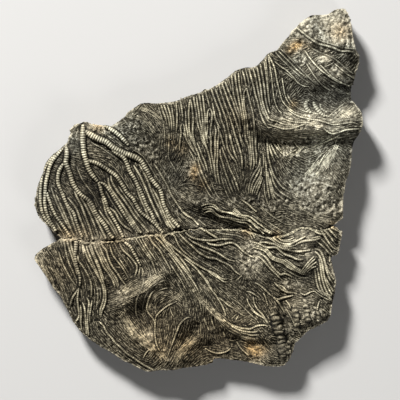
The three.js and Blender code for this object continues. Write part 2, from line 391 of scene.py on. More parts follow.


# ---- Stains, painted shade and painted light ----
# What has soaked into stone and arms alike: cream clay and mending paste, rust from iron, and a cooler
# grey on the right. With them go painted shade in hollows, between arms and under ridges and cords, and
# painted light on slopes in shadow and on pale worn places. Each piece carries them as marks.

# Each entry is a place on the grid, how far it reaches in squares, and its strength. In the list of
# painted shade and light, a strength above nought is painted shade, and one below nought painted light.
CREAM = [
    (255, 350, 8, 0.7), (262, 356, 7, 0.5), (294, 46, 6, 0.6), (325, 56, 5, 1), (196, 170, 6, 0.5),
    (342, 30, 12, 0.8), (334, 36, 8, 0.5), (325, 22, 8, 0.4), (303, 25, 8, 0.5), (338, 72, 7, 0.5),
    (90, 128, 7, 0.5), (84, 140, 7, 0.5), (66, 148, 5, 0.5), (80, 240, 12, 0.9), (100, 241, 10, 0.9),
    (125, 239, 9, 0.7), (66, 239, 6, 0.8), (148, 234, 8, 0.5), (252, 262, 16, 0.5), (302, 240, 14, 0.5),
    (306, 252, 14, 0.5), (330, 264, 9, 0.5), (304, 306, 16, 0.4), (196, 226, 6, 0.8), (346, 206, 9, 0.6),
    (330, 214, 12, 0.4), (120, 298, 8, 0.4), (150, 280, 12, 0.4), (150, 335, 8, 0.4), (60, 200, 22, 0.2),
    (30, 256, 9, 0.7), (280, 196, 8, 0.3), (195, 172, 6, 0.5), (270, 128, 12, 0.3), (310, 120, 14, 0.4),
    (350, 112, 8, 0.5), (316, 190, 10, 0.3), (280, 350, 10, 0.4), (290, 124, 9, 0.4), (320, 121, 12, 0.5),
    (344, 118, 12, 0.5), (335, 24, 14, 0.4), (316, 64, 22, 0.4), (304, 196, 20, 0.35),
    (332, 172, 18, 0.25), (306, 40, 12, 0.3),
]
RUST = [
    (236, 118, 16, 0.25), (222, 150, 14, 0.15), (150, 325, 34, 0.3), (205, 350, 30, 0.3),
    (60, 270, 24, 0.22), (110, 260, 28, 0.24), (280, 300, 20, 0.15), (235, 330, 28, 0.2),
    (100, 200, 30, 0.1), (175, 250, 24, 0.12), (70, 234, 8, 0.4), (84, 233, 8, 0.3), (62, 232, 6, 0.3),
    (120, 239, 8, 0.2), (150, 240, 10, 0.25), (195, 168, 5, 0.8), (193, 176, 5, 0.7), (202, 184, 6, 0.5),
    (294, 46, 5, 0.9), (299, 44, 4, 0.7), (288, 51, 5, 0.6), (293, 104, 5, 0.7), (306, 46, 5, 0.3),
    (250, 345, 6, 0.9), (254, 352, 7, 0.8), (262, 348, 8, 0.5), (340, 32, 9, 0.4), (98, 126, 7, 0.5),
    (276, 234, 5, 0.6), (182, 148, 7, 0.4), (170, 142, 6, 0.4), (246, 232, 6, 0.5), (333, 225, 4, 0.6),
    (108, 242, 8, 0.2), (160, 238, 7, 0.2), (185, 345, 12, 0.3), (160, 350, 12, 0.3),
]
# Painted shade in hollows, in the gaps of the fan, and below ridges and cords; below nought, painted
# light on the shaded slope under the right ridge, and on pale worn places.
PAINTED_SHADE_AND_LIGHT = [
    (64, 180, 5, 0.5), (82, 178, 6, 0.5), (95, 190, 9, 0.7), (108, 195, 8, 0.7), (118, 206, 9, 0.6),
    (70, 200, 8, 0.5), (85, 215, 9, 0.5), (48, 180, 5, 0.4), (100, 166, 6, 0.4), (128, 214, 8, 0.5),
    (275, 136, 8, -0.5), (290, 138, 9, -0.8), (305, 139, 9, -0.8), (320, 139, 9, -0.7),
    (338, 136, 9, -0.6), (350, 132, 8, -0.6), (170, 240, 10, 0.4), (228, 262, 8, 0.4),
    (322, 24, 24, -0.3), (134, 124, 12, -0.4), (108, 130, 12, -0.4), (146, 144, 8, -0.3),
    (344, 44, 12, -0.5), (318, 62, 20, -1.2), (345, 66, 10, -0.5), (300, 44, 10, -0.4),
    (300, 76, 12, -0.3), (290, 116, 16, -0.5), (320, 120, 16, -0.5), (346, 114, 14, -0.5),
    (262, 122, 8, -0.3), (334, 164, 14, -0.5), (286, 150, 12, -0.5), (326, 206, 16, -0.5),
    (296, 196, 10, -0.4), (300, 232, 18, -0.4), (290, 284, 14, -0.2), (235, 330, 30, -0.3),
    (255, 310, 18, -0.3), (155, 320, 26, -0.2), (312, 126, 14, -0.3), (200, 80, 60, -0.1),
    (300, 62, 16, -0.6), (322, 270, 12, -0.4), (304, 306, 16, -0.3), (300, 144, 26, -0.8),
    (335, 140, 12, -0.5), (300, 128, 14, -0.3), (250, 258, 14, -0.5), (276, 240, 12, -0.3),
    (110, 132, 14, -0.3), (150, 284, 14, -0.3), (92, 190, 9, 0.5), (104, 176, 7, 0.5), (126, 172, 5, 0.4),
    (172, 158, 8, 0.8), (178, 176, 12, 0.5), (158, 150, 8, 0.5), (148, 136, 6, 0.5), (128, 130, 6, 0.5),
    (330, 92, 20, 0.75), (345, 95, 10, 0.6), (314, 88, 10, 0.4), (296, 138, 20, 0.2), (270, 136, 10, 0.4),
    (72, 175, 7, 0.5), (60, 205, 6, 0.5), (86, 205, 8, 0.4), (110, 200, 6, 0.5), (70, 212, 5, 0.4),
    (214, 196, 14, 0.5), (206, 216, 14, 0.6), (190, 208, 8, 0.5), (240, 198, 12, 0.5),
    (215, 262, 12, 0.6), (203, 256, 8, 0.5), (140, 312, 9, 0.6), (134, 302, 6, 0.4), (300, 276, 9, 0.7),
    (286, 316, 5, 0.9), (286, 332, 4, 0.7), (280, 300, 6, 0.5), (244, 306, 9, 0.5), (222, 346, 16, 0.6),
    (206, 338, 10, 0.5), (190, 318, 10, 0.3), (276, 262, 6, 0.4), (309, 274, 8, 0.5), (94, 270, 8, 0.3),
    (112, 266, 8, 0.4), (270, 168, 5, 0.5), (240, 234, 7, 0.5), (310, 104, 6, 0.4), (140, 256, 8, 0.3),
    (92, 192, 40, 0.3), (290, 318, 8, 0.5), (299, 312, 4, 0.6), (255, 196, 6, 0.5), (265, 200, 6, 0.5),
    (285, 60, 8, 0.35), (120, 322, 10, 0.3), (246, 262, 9, -0.5), (254, 250, 7, -0.4),
    (238, 272, 6, -0.3), (316, 56, 30, -0.3), (306, 34, 10, -0.3), (325, 175, 26, -0.3),
    (140, 338, 6, -0.6), (152, 346, 6, -0.6), (162, 355, 5, -0.5), (128, 298, 7, -0.4),
    (122, 312, 6, -0.5), (130, 328, 6, -0.5), (192, 286, 6, -0.4), (206, 305, 6, -0.4),
    (222, 318, 6, -0.4), (150, 282, 8, -0.4), (262, 95, 16, 0.6), (130, 115, 12, -0.3),
    (282, 140, 12, -0.6), (300, 141, 14, -0.7), (320, 140, 14, -0.7), (340, 137, 12, -0.6),
    (284, 143, 7, -0.9), (296, 144, 7, -0.9), (308, 144, 7, -0.9), (320, 143, 7, -0.9),
    (332, 141, 7, -0.8), (344, 137, 7, -0.7), (40, 262, 12, -0.3), (298, 316, 18, -0.7),
    (84, 152, 8, -0.6), (93, 150, 8, -0.6), (100, 157, 7, -0.5), (309, 105, 5, 0.6), (318, 107, 5, 0.6),
    (290, 262, 16, -0.3), (310, 254, 14, -0.3),
]
COOL = [
    (325, 40, 34, 0.5), (330, 100, 34, 0.4), (320, 150, 34, 0.4), (310, 195, 26, 0.5), (330, 40, 30, 0.8),
    (320, 90, 30, 0.9), (300, 60, 20, 0.6), (335, 150, 30, 0.7), (300, 180, 20, 0.6), (340, 110, 20, 0.5),
    (130, 130, 22, 0.6), (110, 135, 14, 0.5), (75, 142, 8, 0.7), (175, 175, 16, 0.4), (270, 100, 24, 0.4),
    (220, 120, 30, 0.25), (300, 250, 24, 0.3), (320, 300, 20, 0.2), (48, 192, 8, 0.3), (42, 188, 14, 0.5),
    (60, 160, 14, 0.5), (76, 146, 12, 0.5),
]
PALEST = -2.6  # the painted shade and painted light together come to no less
RIM_FOOT, RIM_RISE = 0.0082, 0.0012  # the painted highlight on the rim starts at this height, in full this far above
RIM_BAND = 3  # cells of the survey on either side
RIM_EMPTY, RIM_FADE = 0.14, 0.25  # it begins at this share of empty cells, in full this much on
# How strong the painted highlight on the rim is, and how much of the painted shade shows: on stone and
# what is matted on it, and on arms, which stand clear of it.
ON_STONE, ON_ARMS = (0.6, 1.0), (0.0, 0.4)

window = np.ones(2 * RIM_BAND + 1)
carried = np.pad((which_stone > 0).astype(float), RIM_BAND)
for axis in (0, 1):
    carried = np.apply_along_axis(lambda row: np.convolve(row, window, "valid"), axis, carried)
carried /= len(window) ** 2


def rim_at(x, y):
    """How near the broken rim each place is, from 0 to 1."""
    i = np.clip(np.rint((x - survey_x[0]) / SURVEY), 0, len(survey_x) - 1).astype(int)
    j = np.clip(np.rint((y - survey_y[0]) / SURVEY), 0, len(survey_y) - 1).astype(int)
    return np.clip((1 - RIM_EMPTY - carried[i, j]) / RIM_FADE, 0, 1)


def set_mark(piece, name, values):
    mark = piece.data.attributes.get(name) or piece.data.attributes.new(name, "FLOAT", "POINT")
    mark.data.foreach_set("value", np.broadcast_to(values, len(piece.data.vertices)).astype("f"))


def mark_of(piece, name):
    values = np.empty(len(piece.data.vertices), "f")
    piece.data.attributes[name].data.foreach_get("value", values)
    return values


def stained_and_light_painted(piece, rim_highlight, shaded):
    """The piece's stains and its painted shade and light, as marks on its vertices. Its rim gets a
    creamy, patchy painted highlight.
    """
    places = vertices_of(piece)
    # The painted highlight runs along the broken rim, on what stands high there.
    rim = (rim_at(places[:, 0], places[:, 1])
           * np.clip((places[:, 2] - RIM_FOOT) / RIM_RISE, 0, 1)
           * np.clip(0.85 + 1.3 * ripples(places, 380), 0, 1))
    set_mark(piece, "crest_light", np.clip(mark_of(piece, "crest_light") + rim_highlight * rim, 0, 1))
    for name, stains in (("cream", CREAM), ("rust", RUST), ("dark", PAINTED_SHADE_AND_LIGHT), ("cool", COOL)):
        total = np.zeros(len(places))
        for x, y, reach, strength in stains:
            px, py = on_stone(x, y)
            far = ((places[:, 0] - px) ** 2 + (places[:, 1] - py) ** 2) / (reach * SQUARE) ** 2
            total += strength * np.exp(-far)
        # The painted highlight on the rim is creamy too.
        if name == "cream":
            total += 0.8 * rim_highlight * rim
        # Arms take only part of the painted shade, and all of the painted light.
        if name == "dark":
            total = np.where(total > 0, shaded * total, total)
        set_mark(piece, name, np.clip(total, PALEST if name == "dark" else 0, 1))


# ---- Arms of the left fan ----
# Arms of sea lilies, laid side by side by the current: each is a row of small calcite rings (ossicles),
# half sunk in the stone. Routes are read on enlarged sheets of the grid.

STEP = 0.0009  # how closely a route is followed
RIM_CLEARANCE = 0.00025  # an arm stops this far inside the rim
SHORTEST = 0.003  # a stretch that is shorter is left out
TAPER = 0.0035  # an arm thins and sinks over this length at its end
END_SINK = 0.0003
FOOT, CROWN = 0.00014, 0.00048  # a ring goes this far into the stone, and its painted highlight is full this high
HEAVE = 0.0003  # how far arms rise and sink along their length
SHEAF_HEAVE = 0.0002


def off_sheet(sheet, places):
    """Places read from an enlarged sheet, whose corner and enlargement are given, in metres."""
    corner_x, corner_y, enlarged = sheet
    return [on_stone(corner_x + x / enlarged - 0.5, corner_y + y / enlarged - 0.5)
            for x, y in places]


def smooth_route(places):
    """A smooth line through the places, followed at even steps."""
    p = np.array(places, float)
    p = np.vstack([2 * p[0] - p[1], p, 2 * p[-1] - p[-2]])
    line = []
    for a, b, c, d in zip(p, p[1:], p[2:], p[3:]):
        for t in np.linspace(0, 1, 10, endpoint=False):
            line.append(0.5 * (2 * b + (c - a) * t + (2 * a - 5 * b + 4 * c - d) * t * t
                               + (3 * b - a - 3 * c + d) * t ** 3))
    line = np.array(line + [p[-2]])
    along = np.r_[0, np.cumsum(np.hypot(*np.diff(line, axis=0).T))]
    marks = np.linspace(0, along[-1], max(3, int(along[-1] / STEP) + 1))
    return np.c_[np.interp(marks, along, line[:, 0]), np.interp(marks, along, line[:, 1])]


def run_out(line):
    """The line, carried on to the rim or the break where one is near either end."""
    for _ in range(2):
        line = line[::-1]
        ahead = line[-1] - line[-3]
        further = line[-1] + ahead * (STEP / np.hypot(*ahead) * np.arange(1, 5))[:, None]
        home = int(stone_at(*line[-1]))
        off = np.nonzero(stone_at(further[:, 0], further[:, 1]) != home)[0]
        if home and len(off):
            line = np.vstack([line, further[:off[0]]])
    return line


def runs_on(line, widths):
    """The stretches of a line that lie on one stone, as (stone, line, widths)."""
    here = stone_at(line[:, 0], line[:, 1])
    for dx, dy in ((1, 0), (-1, 0), (0, 1), (0, -1)):
        beside = stone_at(line[:, 0] + dx * RIM_CLEARANCE, line[:, 1] + dy * RIM_CLEARANCE)
        here = np.where(beside == here, here, 0)
    found, start = [], 0
    for i in range(1, len(here) + 1):
        if i == len(here) or here[i] != here[start]:
            if here[start] and i - start > 2:
                length = np.hypot(*np.diff(line[start:i], axis=0).T).sum()
                if length > SHORTEST:
                    found.append((int(here[start]), line[start:i], widths[start:i]))
            start = i
    return found


def ossicle(name, pitch, sides, collar, waist, groove, pale_from=0.00018, tall=1.25):
    """A ring of an arm, one millimetre wide, along X, with a groove at each end. The waist is how
    much of its width and of its height is left in the groove."""
    bpy.ops.object.select_all(action="DESELECT")
    bpy.ops.mesh.primitive_cylinder_add(
        vertices=sides, radius=0.0005, depth=pitch, end_fill_type="NOTHING",
        rotation=(0, math.pi / 2, 0), location=(pitch / 2, 0, 0))
    ring = bpy.context.object
    ring.name = name
    bpy.ops.object.transform_apply(location=True, rotation=True, scale=True)
    with shaping():
        for cut in (collar, 1 - collar):
            bpy.ops.mesh.select_all(action="SELECT")
            bpy.ops.mesh.bisect(plane_co=(pitch * cut, 0, 0), plane_no=(1, 0, 0))
    places = vertices_of(ring)
    places[:, 1], places[:, 2] = -places[:, 2], places[:, 1].copy()  # a corner on top
    ends = (places[:, 0] < pitch * 0.2) | (places[:, 0] > pitch * 0.8)
    places[ends, 1:] *= waist
    places[:, 2] = np.maximum(places[:, 2], -FOOT)
    # Low on the ring is painted shade and high on it a painted highlight; the grooves at its ends stay
    # darker.
    crest_light = np.clip((places[:, 2] - pale_from) / (CROWN - pale_from), 0, 1)
    places[:, 2] *= tall
    put_vertices(ring, places)
    set_mark(ring, "crest_light", crest_light * np.where(ends, groove, 1.0))
    bpy.context.collection.objects.unlink(ring)
    return ring


def guide_curve(line, widths, lift):
    """The curve that an arm follows. Its radius is the arm's width in millimetres. It thins and
    sinks into the stone at each end that isn't at a broken edge."""
    along = np.r_[0, np.cumsum(np.hypot(*np.diff(line, axis=0).T))]
    far = np.full(len(line), 1.0)
    for end, inner, run in ((line[0], line[1], along), (line[-1], line[-2], along[-1] - along)):
        beyond = end + (end - inner) * (STEP / np.hypot(*(end - inner)))
        if stone_at(*beyond) == stone_at(*end):
            far = np.minimum(far, run)
    ends = np.clip(far / TAPER, 0, 1) ** 0.7
    widths = widths * (0.4 + 0.6 * ends)
    data = bpy.data.curves.new("guide", "CURVE")
    data.dimensions, data.twist_mode, data.use_radius = "3D", "Z_UP", True
    spline = data.splines.new("POLY")
    spline.points.add(len(line) - 1)
    for point, (x, y), width, end in zip(spline.points, line, widths, ends):
        point.co, point.radius = (x, y, lift - END_SINK * (1 - end), 1), width
    guide = bpy.data.objects.new("guide", data)
    bpy.context.collection.objects.link(guide)
    return guide


def row_of(unit, pitch, line, widths, lift, tone):
    """A row of copies of the unit, which a guide bends along the line."""
    length = np.hypot(*np.diff(line, axis=0).T).sum()
    row = bpy.data.objects.new("row", unit.data.copy())
    bpy.context.collection.objects.link(row)
    set_mark(row, "tone", tone)
    array = row.modifiers.new("row", "ARRAY")
    array.count = max(2, int(length / pitch))
    array.use_relative_offset, array.use_constant_offset = False, True
    array.constant_offset_displace = (pitch, 0, 0)
    array.use_merge_vertices, array.merge_threshold = True, 0.00001
    bend = row.modifiers.new("along", "CURVE")
    bend.object, bend.deform_axis = guide_curve(line, widths, lift), "POS_X"
    return row


def gather(rows, name):
    """Rows made into one mesh, closed at their ends."""
    guides = [row.modifiers["along"].object for row in rows]
    only(*rows)
    bpy.ops.object.convert(target="MESH")
    bpy.ops.object.join()
    piece = bpy.context.object
    piece.name = piece.data.name = name
    for guide in guides:
        bpy.data.objects.remove(guide)
    with shaping():
        bpy.ops.mesh.fill_holes(sides=0)
        bpy.ops.mesh.normals_make_consistent(inside=False)
    rounded(piece)
    return piece


def lay(piece, heave=0.0):
    """The piece, made flat at zero height, is laid on the stone, in places half buried."""
    places = vertices_of(piece)
    places[:, 2] += height_at(places[:, 0], places[:, 1])
    if heave:
        places[:, 2] += heave * (
            flat_ripples(places, 260, 1.7) + 0.5 * flat_ripples(places, 620, 2.7) - 0.1)
        uneven = 0.9 * flat_ripples(places, 380, 6.4) + 0.9 * flat_ripples(places, 1200, 4.6)
        set_mark(piece, "tone", mark_of(piece, "tone") + uneven)
    put_vertices(piece, places)
    return piece


STOUT_PITCH, SLENDER_PITCH = 0.00102, 0.00080
stout_ring = ossicle("stout_ring", STOUT_PITCH, 10, 0.24, (0.9, 0.72), 0.18)
slender_ring = ossicle("slender_ring", SLENDER_PITCH, 6, 0.3, (0.94, 0.9), 0.65)
BREADTH = 1.15  # the routes' widths are those of the crests, and the arms are this much wider
STOUT_FROM = 1.5  # an arm at least this wide, in millimetres, has the stout rings
NEVER = 9.0  # wider than any arm
PLY_GAP = 0.42  # from one strand of a bundle to the next, as a share of its width
TWIST = 0.016  # a bundle's strands turn by one radian in this length

picker = random.Random(36)
laid_lines = []  # every arm's stone, line and widths, for the finer things that fill the rest
sheaves = []  # broad bands of fine strands, as lines and widths


def plies_of(line, width, plies, twisted):
    """The strands of a bundle that follows the line, twisted or side by side."""
    along = np.gradient(line, axis=0)
    across = np.c_[-along[:, 1], along[:, 0]] / np.hypot(*along.T)[:, None]
    turn = np.arange(len(line)) * STEP / TWIST + picker.uniform(0, 6)
    for ply in range(plies):
        if twisted:
            beside = np.sin(turn + ply * 2 * math.pi / plies) * (plies - 1) / 2
        else:
            beside = ply - (plies - 1) / 2 + 0.3 * np.sin(turn * 2 + ply)
        yield line + across * (beside * PLY_GAP * width * 0.001)[:, None]


def arms(sheet, routes, lift=0.0, spread=0.00012, pale=0.0, bundled_from=NEVER, twisted=False,
         sheaved_from=NEVER, stout_from=STOUT_FROM, least=0.0, breadth=BREADTH):
    """The arms of a sheet as rows, sorted by stone. A route is (first width, last width, places).
    One that is at least bundled_from wide is a bundle of slender arms, and one that is at least
    sheaved_from wide is kept for a sheaf of fine strands."""
    sorted_rows = {UPPER: [], LOWER: []}
    plain = []
    for first, last, places in routes:
        line = run_out(smooth_route(off_sheet(sheet, places)))
        widths = breadth * np.maximum(np.linspace(first, last, len(line)), least)
        if first >= sheaved_from:
            sheaves.append((line, widths))
            continue
        if first < bundled_from:
            plain.append((line, widths))
            continue
        plies = 3 if first < 2 else 4
        plain += [(ply, 0.85 + 0.15 * (widths - widths.mean()))
                  for ply in plies_of(line, BREADTH * first, plies, twisted)]
    for line, widths in plain:
        for stone, part, part_widths in runs_on(line, widths):
            stout = part_widths.mean() > stout_from
            unit, pitch = (stout_ring, STOUT_PITCH) if stout else (slender_ring, SLENDER_PITCH)
            raised = lift + picker.uniform(0, spread)
            tone = pale + picker.uniform(-0.4, 0.4)
            sorted_rows[stone].append(row_of(unit, pitch, part, part_widths, raised, tone))
            laid_lines.append((stone, part, part_widths))
    return sorted_rows


MAP_SHARE = 0.84  # of a map's width, for what faces up
UNDER_SHARE = 0.15


def flat_map(piece):
    """A map of the piece for baked finishes: what faces up as it is seen from above, and beside
    it what faces down, smaller."""
    mesh = piece.data
    normals = np.empty(len(mesh.polygons) * 3)
    corners, index = np.empty(len(mesh.polygons), int), np.empty(len(mesh.loops), int)
    mesh.polygons.foreach_get("normal", normals)
    mesh.polygons.foreach_get("loop_total", corners)
    mesh.loops.foreach_get("vertex_index", index)
    under = np.repeat(normals[2::3] < 0, corners)
    places = vertices_of(piece)
    x, y, _ = ((places - places.min(0)) / np.ptp(places, axis=0).max())[index].T
    layer = mesh.uv_layers.new(name="OFBake")
    layer.data.foreach_set("uv", np.c_[
        np.where(under, MAP_SHARE + UNDER_SHARE * x, 0.99 * MAP_SHARE * x),
        np.where(under, UNDER_SHARE * y, 0.99 * MAP_SHARE * y)].ravel())


def finished(piece, material, light_painting):
    """The piece with its stains, its painted shade and light, its map and its material."""
    stained_and_light_painted(piece, *light_painting)
    flat_map(piece)
    dressed(piece, material)


# The first colour is painted shade for crevices, the last the pale of worn crests with a painted
# highlight.
arm_calcite = fossil_material("arm_calcite", linear(20, 18, 13), linear(98, 91, 71),
                              linear(204, 195, 165), 1500.0, 0.7, 1.0, 0.00018, 0.3)


def laid_arms(rows, name):
    """The rows gathered into one piece and laid on the stone, finished as worn calcite."""
    finished(lay(gather(rows, name), HEAVE), arm_calcite, ON_ARMS)


FAN_SHEET = (30, 110, 9)
FAN_ARMS = [
    (1.7, 1.3, [(250, 375), (205, 430), (165, 480), (135, 530), (115, 590), (103, 650), (97, 720),
     (95, 780), (98, 840), (108, 905), (132, 965), (175, 1025), (225, 1085)]),
    (1.9, 1.4, [(300, 345), (250, 400), (205, 460), (175, 530), (158, 600), (147, 660), (140, 730),
     (136, 800), (140, 860), (152, 925), (178, 990), (212, 1050), (255, 1125)]),
    (1.5, 1.2, [(138, 700), (160, 765), (185, 830), (203, 880), (228, 935), (258, 985), (292, 1030),
     (330, 1085), (370, 1145)]),
    (1.8, 1.3, [(320, 470), (285, 515), (262, 570), (256, 630), (268, 690), (298, 755), (322, 820),
     (358, 880), (400, 930), (420, 1000), (442, 1065), (475, 1145)]),
    (2.4, 1.8, [(318, 310), (335, 370), (335, 430), (328, 475), (352, 540), (372, 600), (392, 660),
     (420, 710), (455, 755), (495, 790), (540, 822), (575, 880), (602, 940), (642, 990), (682, 1042),
     (712, 1100), (752, 1155)]),
    (2.6, 2.1, [(478, 170), (480, 240), (482, 310), (490, 385), (510, 460), (532, 530), (570, 592),
     (620, 652)]),
    (1.6, 1.3, [(618, 648), (638, 700), (660, 768), (688, 830), (706, 890), (730, 935), (765, 995),
     (802, 1060), (835, 1130)]),
    (1.5, 1.1, [(620, 650), (672, 668), (718, 722), (762, 792), (812, 872), (852, 940), (900, 1010),
     (952, 1085), (990, 1150)]),
    (1.2, 1.0, [(705, 868), (770, 922), (812, 1000), (862, 1052), (912, 1085), (945, 1150)]),
    (2.0, 1.4, [(500, 455), (545, 462), (605, 480), (662, 510), (722, 552), (772, 585), (812, 642),
     (852, 702), (882, 752), (932, 802), (962, 862), (1002, 920), (1062, 970), (1112, 1012),
     (1162, 1065)]),
    (2.1, 1.4, [(730, 345), (775, 385), (845, 430), (880, 498), (902, 560), (932, 602), (962, 662),
     (1002, 742), (1022, 792), (1052, 862), (1092, 930), (1122, 990), (1165, 1050)]),
    (3.0, 1.6, [(500, 190), (560, 232), (620, 262), (690, 290), (740, 330), (800, 366), (880, 400),
     (940, 422), (1000, 460), (1050, 540), (1092, 620), (1140, 680), (1172, 722), (1192, 790),
     (1207, 860), (1242, 930), (1282, 990), (1342, 1052)]),
    (2.4, 1.8, [(530, 115), (600, 125), (680, 150), (740, 180), (800, 225), (850, 275), (900, 330)]),
    (1.0, 0.9, [(730, 590), (742, 650), (790, 730), (842, 800), (892, 870), (935, 942), (1000, 1020),
     (1060, 1090)]),
    (1.0, 0.9, [(705, 610), (722, 690), (775, 770), (825, 840), (868, 905), (915, 975), (965, 1050),
     (1005, 1110)]),
    (1.2, 1.0, [(935, 500), (990, 590), (1032, 680), (1072, 780), (1112, 870), (1152, 950),
     (1192, 1030)]),
    (1.2, 1.0, [(975, 475), (1022, 560), (1062, 640), (1092, 722), (1132, 820), (1172, 900), (1202, 970),
     (1242, 1045)]),
    (0.9, 0.8, [(960, 700), (990, 780), (1020, 850), (1055, 930), (1085, 1000)]),
    (1.1, 0.9, [(1095, 700), (1150, 790), (1180, 870), (1210, 940), (1240, 1010), (1280, 1075)]),
    (0.9, 0.8, [(1215, 880), (1235, 950), (1262, 1010), (1300, 1060)]),
    (1.0, 0.8, [(285, 740), (310, 800), (345, 880), (372, 950), (400, 1030), (430, 1120)]),
    (0.9, 0.8, [(238, 760), (275, 840), (310, 920), (345, 1000), (375, 1075), (405, 1140)]),
    (0.9, 0.8, [(195, 700), (225, 780), (258, 860), (295, 940), (335, 1020), (372, 1090)]),
    (1.0, 0.9, [(395, 705), (430, 790), (462, 850), (490, 920), (520, 1000), (545, 1070), (565, 1140)]),
    (1.0, 0.9, [(430, 730), (470, 800), (505, 860), (540, 930), (570, 1000), (598, 1070), (620, 1140)]),
    (1.0, 0.9, [(345, 790), (395, 850), (430, 905), (458, 980), (485, 1050), (515, 1130)]),
    (1.0, 0.9, [(470, 770), (515, 820), (555, 890), (590, 960), (625, 1030), (655, 1090), (685, 1150)]),
    (0.9, 0.8, [(625, 900), (665, 960), (705, 1010), (745, 1070), (790, 1150)]),
    (0.9, 0.8, [(650, 790), (670, 850), (690, 930), (730, 1000), (770, 1070), (800, 1140)]),
    (0.9, 0.8, [(855, 900), (890, 960), (935, 1030), (980, 1100), (1010, 1150)]),
]

laid_arms(arms(FAN_SHEET, FAN_ARMS, pale=-0.2, least=1.25)[UPPER], "fan_arms")


# ---- Arms of the curtain ----
# The arms that hang side by side across the middle of the upper stone, thinner and closer set
# than those of the fan. They fork, pass under each other and run together at the foot.

CURTAIN_TOP_SHEET = (172, 62, 13)
CURTAIN_TOP = [
    (1.3, 1.0, [(105, 500), (122, 560), (132, 640), (140, 720), (135, 790)]),
    (1.0, 0.9, [(135, 790), (112, 850), (118, 930), (108, 1000), (98, 1090), (100, 1160)]),
    (1.1, 0.9, [(135, 790), (160, 840), (168, 920), (190, 1010), (230, 1080), (290, 1140)]),
    (1.0, 0.9, [(175, 640), (180, 730), (185, 830), (205, 920), (215, 1000), (255, 1090), (300, 1150)]),
    (1.0, 0.9, [(232, 470), (225, 560), (218, 680), (222, 800), (225, 900), (240, 980), (262, 1060)]),
    (1.1, 0.9, [(235, 470), (255, 560), (268, 650), (276, 760), (270, 860), (275, 960), (300, 1060),
     (335, 1150)]),
    (1.1, 0.9, [(280, 450), (292, 530), (316, 660), (330, 780), (345, 850), (372, 920), (385, 1000),
     (410, 1060), (445, 1120)]),
    (1.0, 0.9, [(318, 440), (330, 540), (350, 660), (362, 760), (385, 860), (395, 950), (430, 1040),
     (460, 1130)]),
    (1.0, 0.9, [(352, 420), (368, 520), (385, 640), (400, 760), (405, 880), (420, 980), (450, 1080)]),
    (1.0, 0.9, [(388, 390), (405, 480), (418, 600), (432, 720), (430, 840), (440, 960), (468, 1080)]),
    (1.2, 0.9, [(430, 370), (450, 440), (475, 530), (490, 600)]),
    (0.9, 0.9, [(490, 600), (465, 650), (455, 760), (465, 860), (450, 960), (470, 1080)]),
    (0.9, 0.9, [(490, 600), (520, 660), (515, 780), (500, 880), (505, 980), (520, 1100)]),
    (1.1, 0.9, [(510, 345), (535, 430), (575, 540), (618, 650), (640, 760), (682, 860), (700, 960),
     (712, 1060), (725, 1150)]),
    (1.1, 0.9, [(525, 540), (545, 640), (565, 740), (600, 820), (640, 890)]),
    (0.9, 0.9, [(545, 800), (570, 900), (560, 1000), (580, 1100)]),
    (0.9, 0.9, [(590, 830), (610, 920), (600, 1020), (610, 1100)]),
    (1.1, 0.9, [(555, 330), (600, 460), (650, 600), (700, 740), (732, 880), (762, 1020), (795, 1150)]),
    (1.1, 0.9, [(608, 300), (642, 420), (690, 560), (742, 700), (782, 820), (812, 930), (845, 1050),
     (880, 1150)]),
    (1.1, 0.9, [(650, 285), (692, 400), (742, 540), (792, 660), (832, 780), (872, 900), (902, 1040),
     (935, 1130)]),
    (1.1, 0.9, [(700, 285), (742, 400), (792, 520), (832, 640), (870, 740), (885, 840), (900, 940)]),
    (1.0, 0.9, [(772, 170), (788, 300), (800, 420), (832, 540), (868, 650), (895, 760)]),
    (1.0, 0.9, [(818, 150), (832, 280), (852, 400), (872, 520), (895, 640), (915, 760), (925, 860)]),
    (1.0, 0.9, [(862, 135), (872, 260), (892, 400), (912, 520), (922, 640), (942, 760), (947, 900),
     (962, 1020), (990, 1110)]),
    (1.2, 0.9, [(900, 80), (932, 170), (957, 280), (968, 340)]),
    (1.0, 0.9, [(968, 340), (935, 400), (932, 500), (942, 600), (960, 700), (975, 820), (985, 940),
     (1010, 1050)]),
    (1.1, 0.9, [(968, 340), (992, 440), (1012, 520), (1032, 600), (1052, 700), (1065, 830), (1070, 950),
     (1085, 1060)]),
    (1.1, 0.9, [(1000, 85), (1032, 220), (1062, 330), (1082, 430), (1112, 530), (1132, 620), (1155, 700),
     (1192, 790), (1245, 860), (1300, 850)]),
    (1.1, 0.9, [(1055, 85), (1092, 230), (1122, 400), (1152, 540), (1192, 660), (1232, 755),
     (1292, 825)]),
    (0.9, 0.9, [(1105, 70), (1130, 200), (1155, 350), (1172, 500), (1205, 620), (1245, 720),
     (1290, 780)]),
    (0.9, 0.8, [(1150, 50), (1175, 180), (1200, 330), (1215, 480), (1240, 600), (1270, 690)]),
    (0.9, 0.8, [(1200, 20), (1222, 150), (1240, 300), (1255, 450), (1275, 600)]),
]
CURTAIN_FOOT_SHEET = (172, 130, 11)
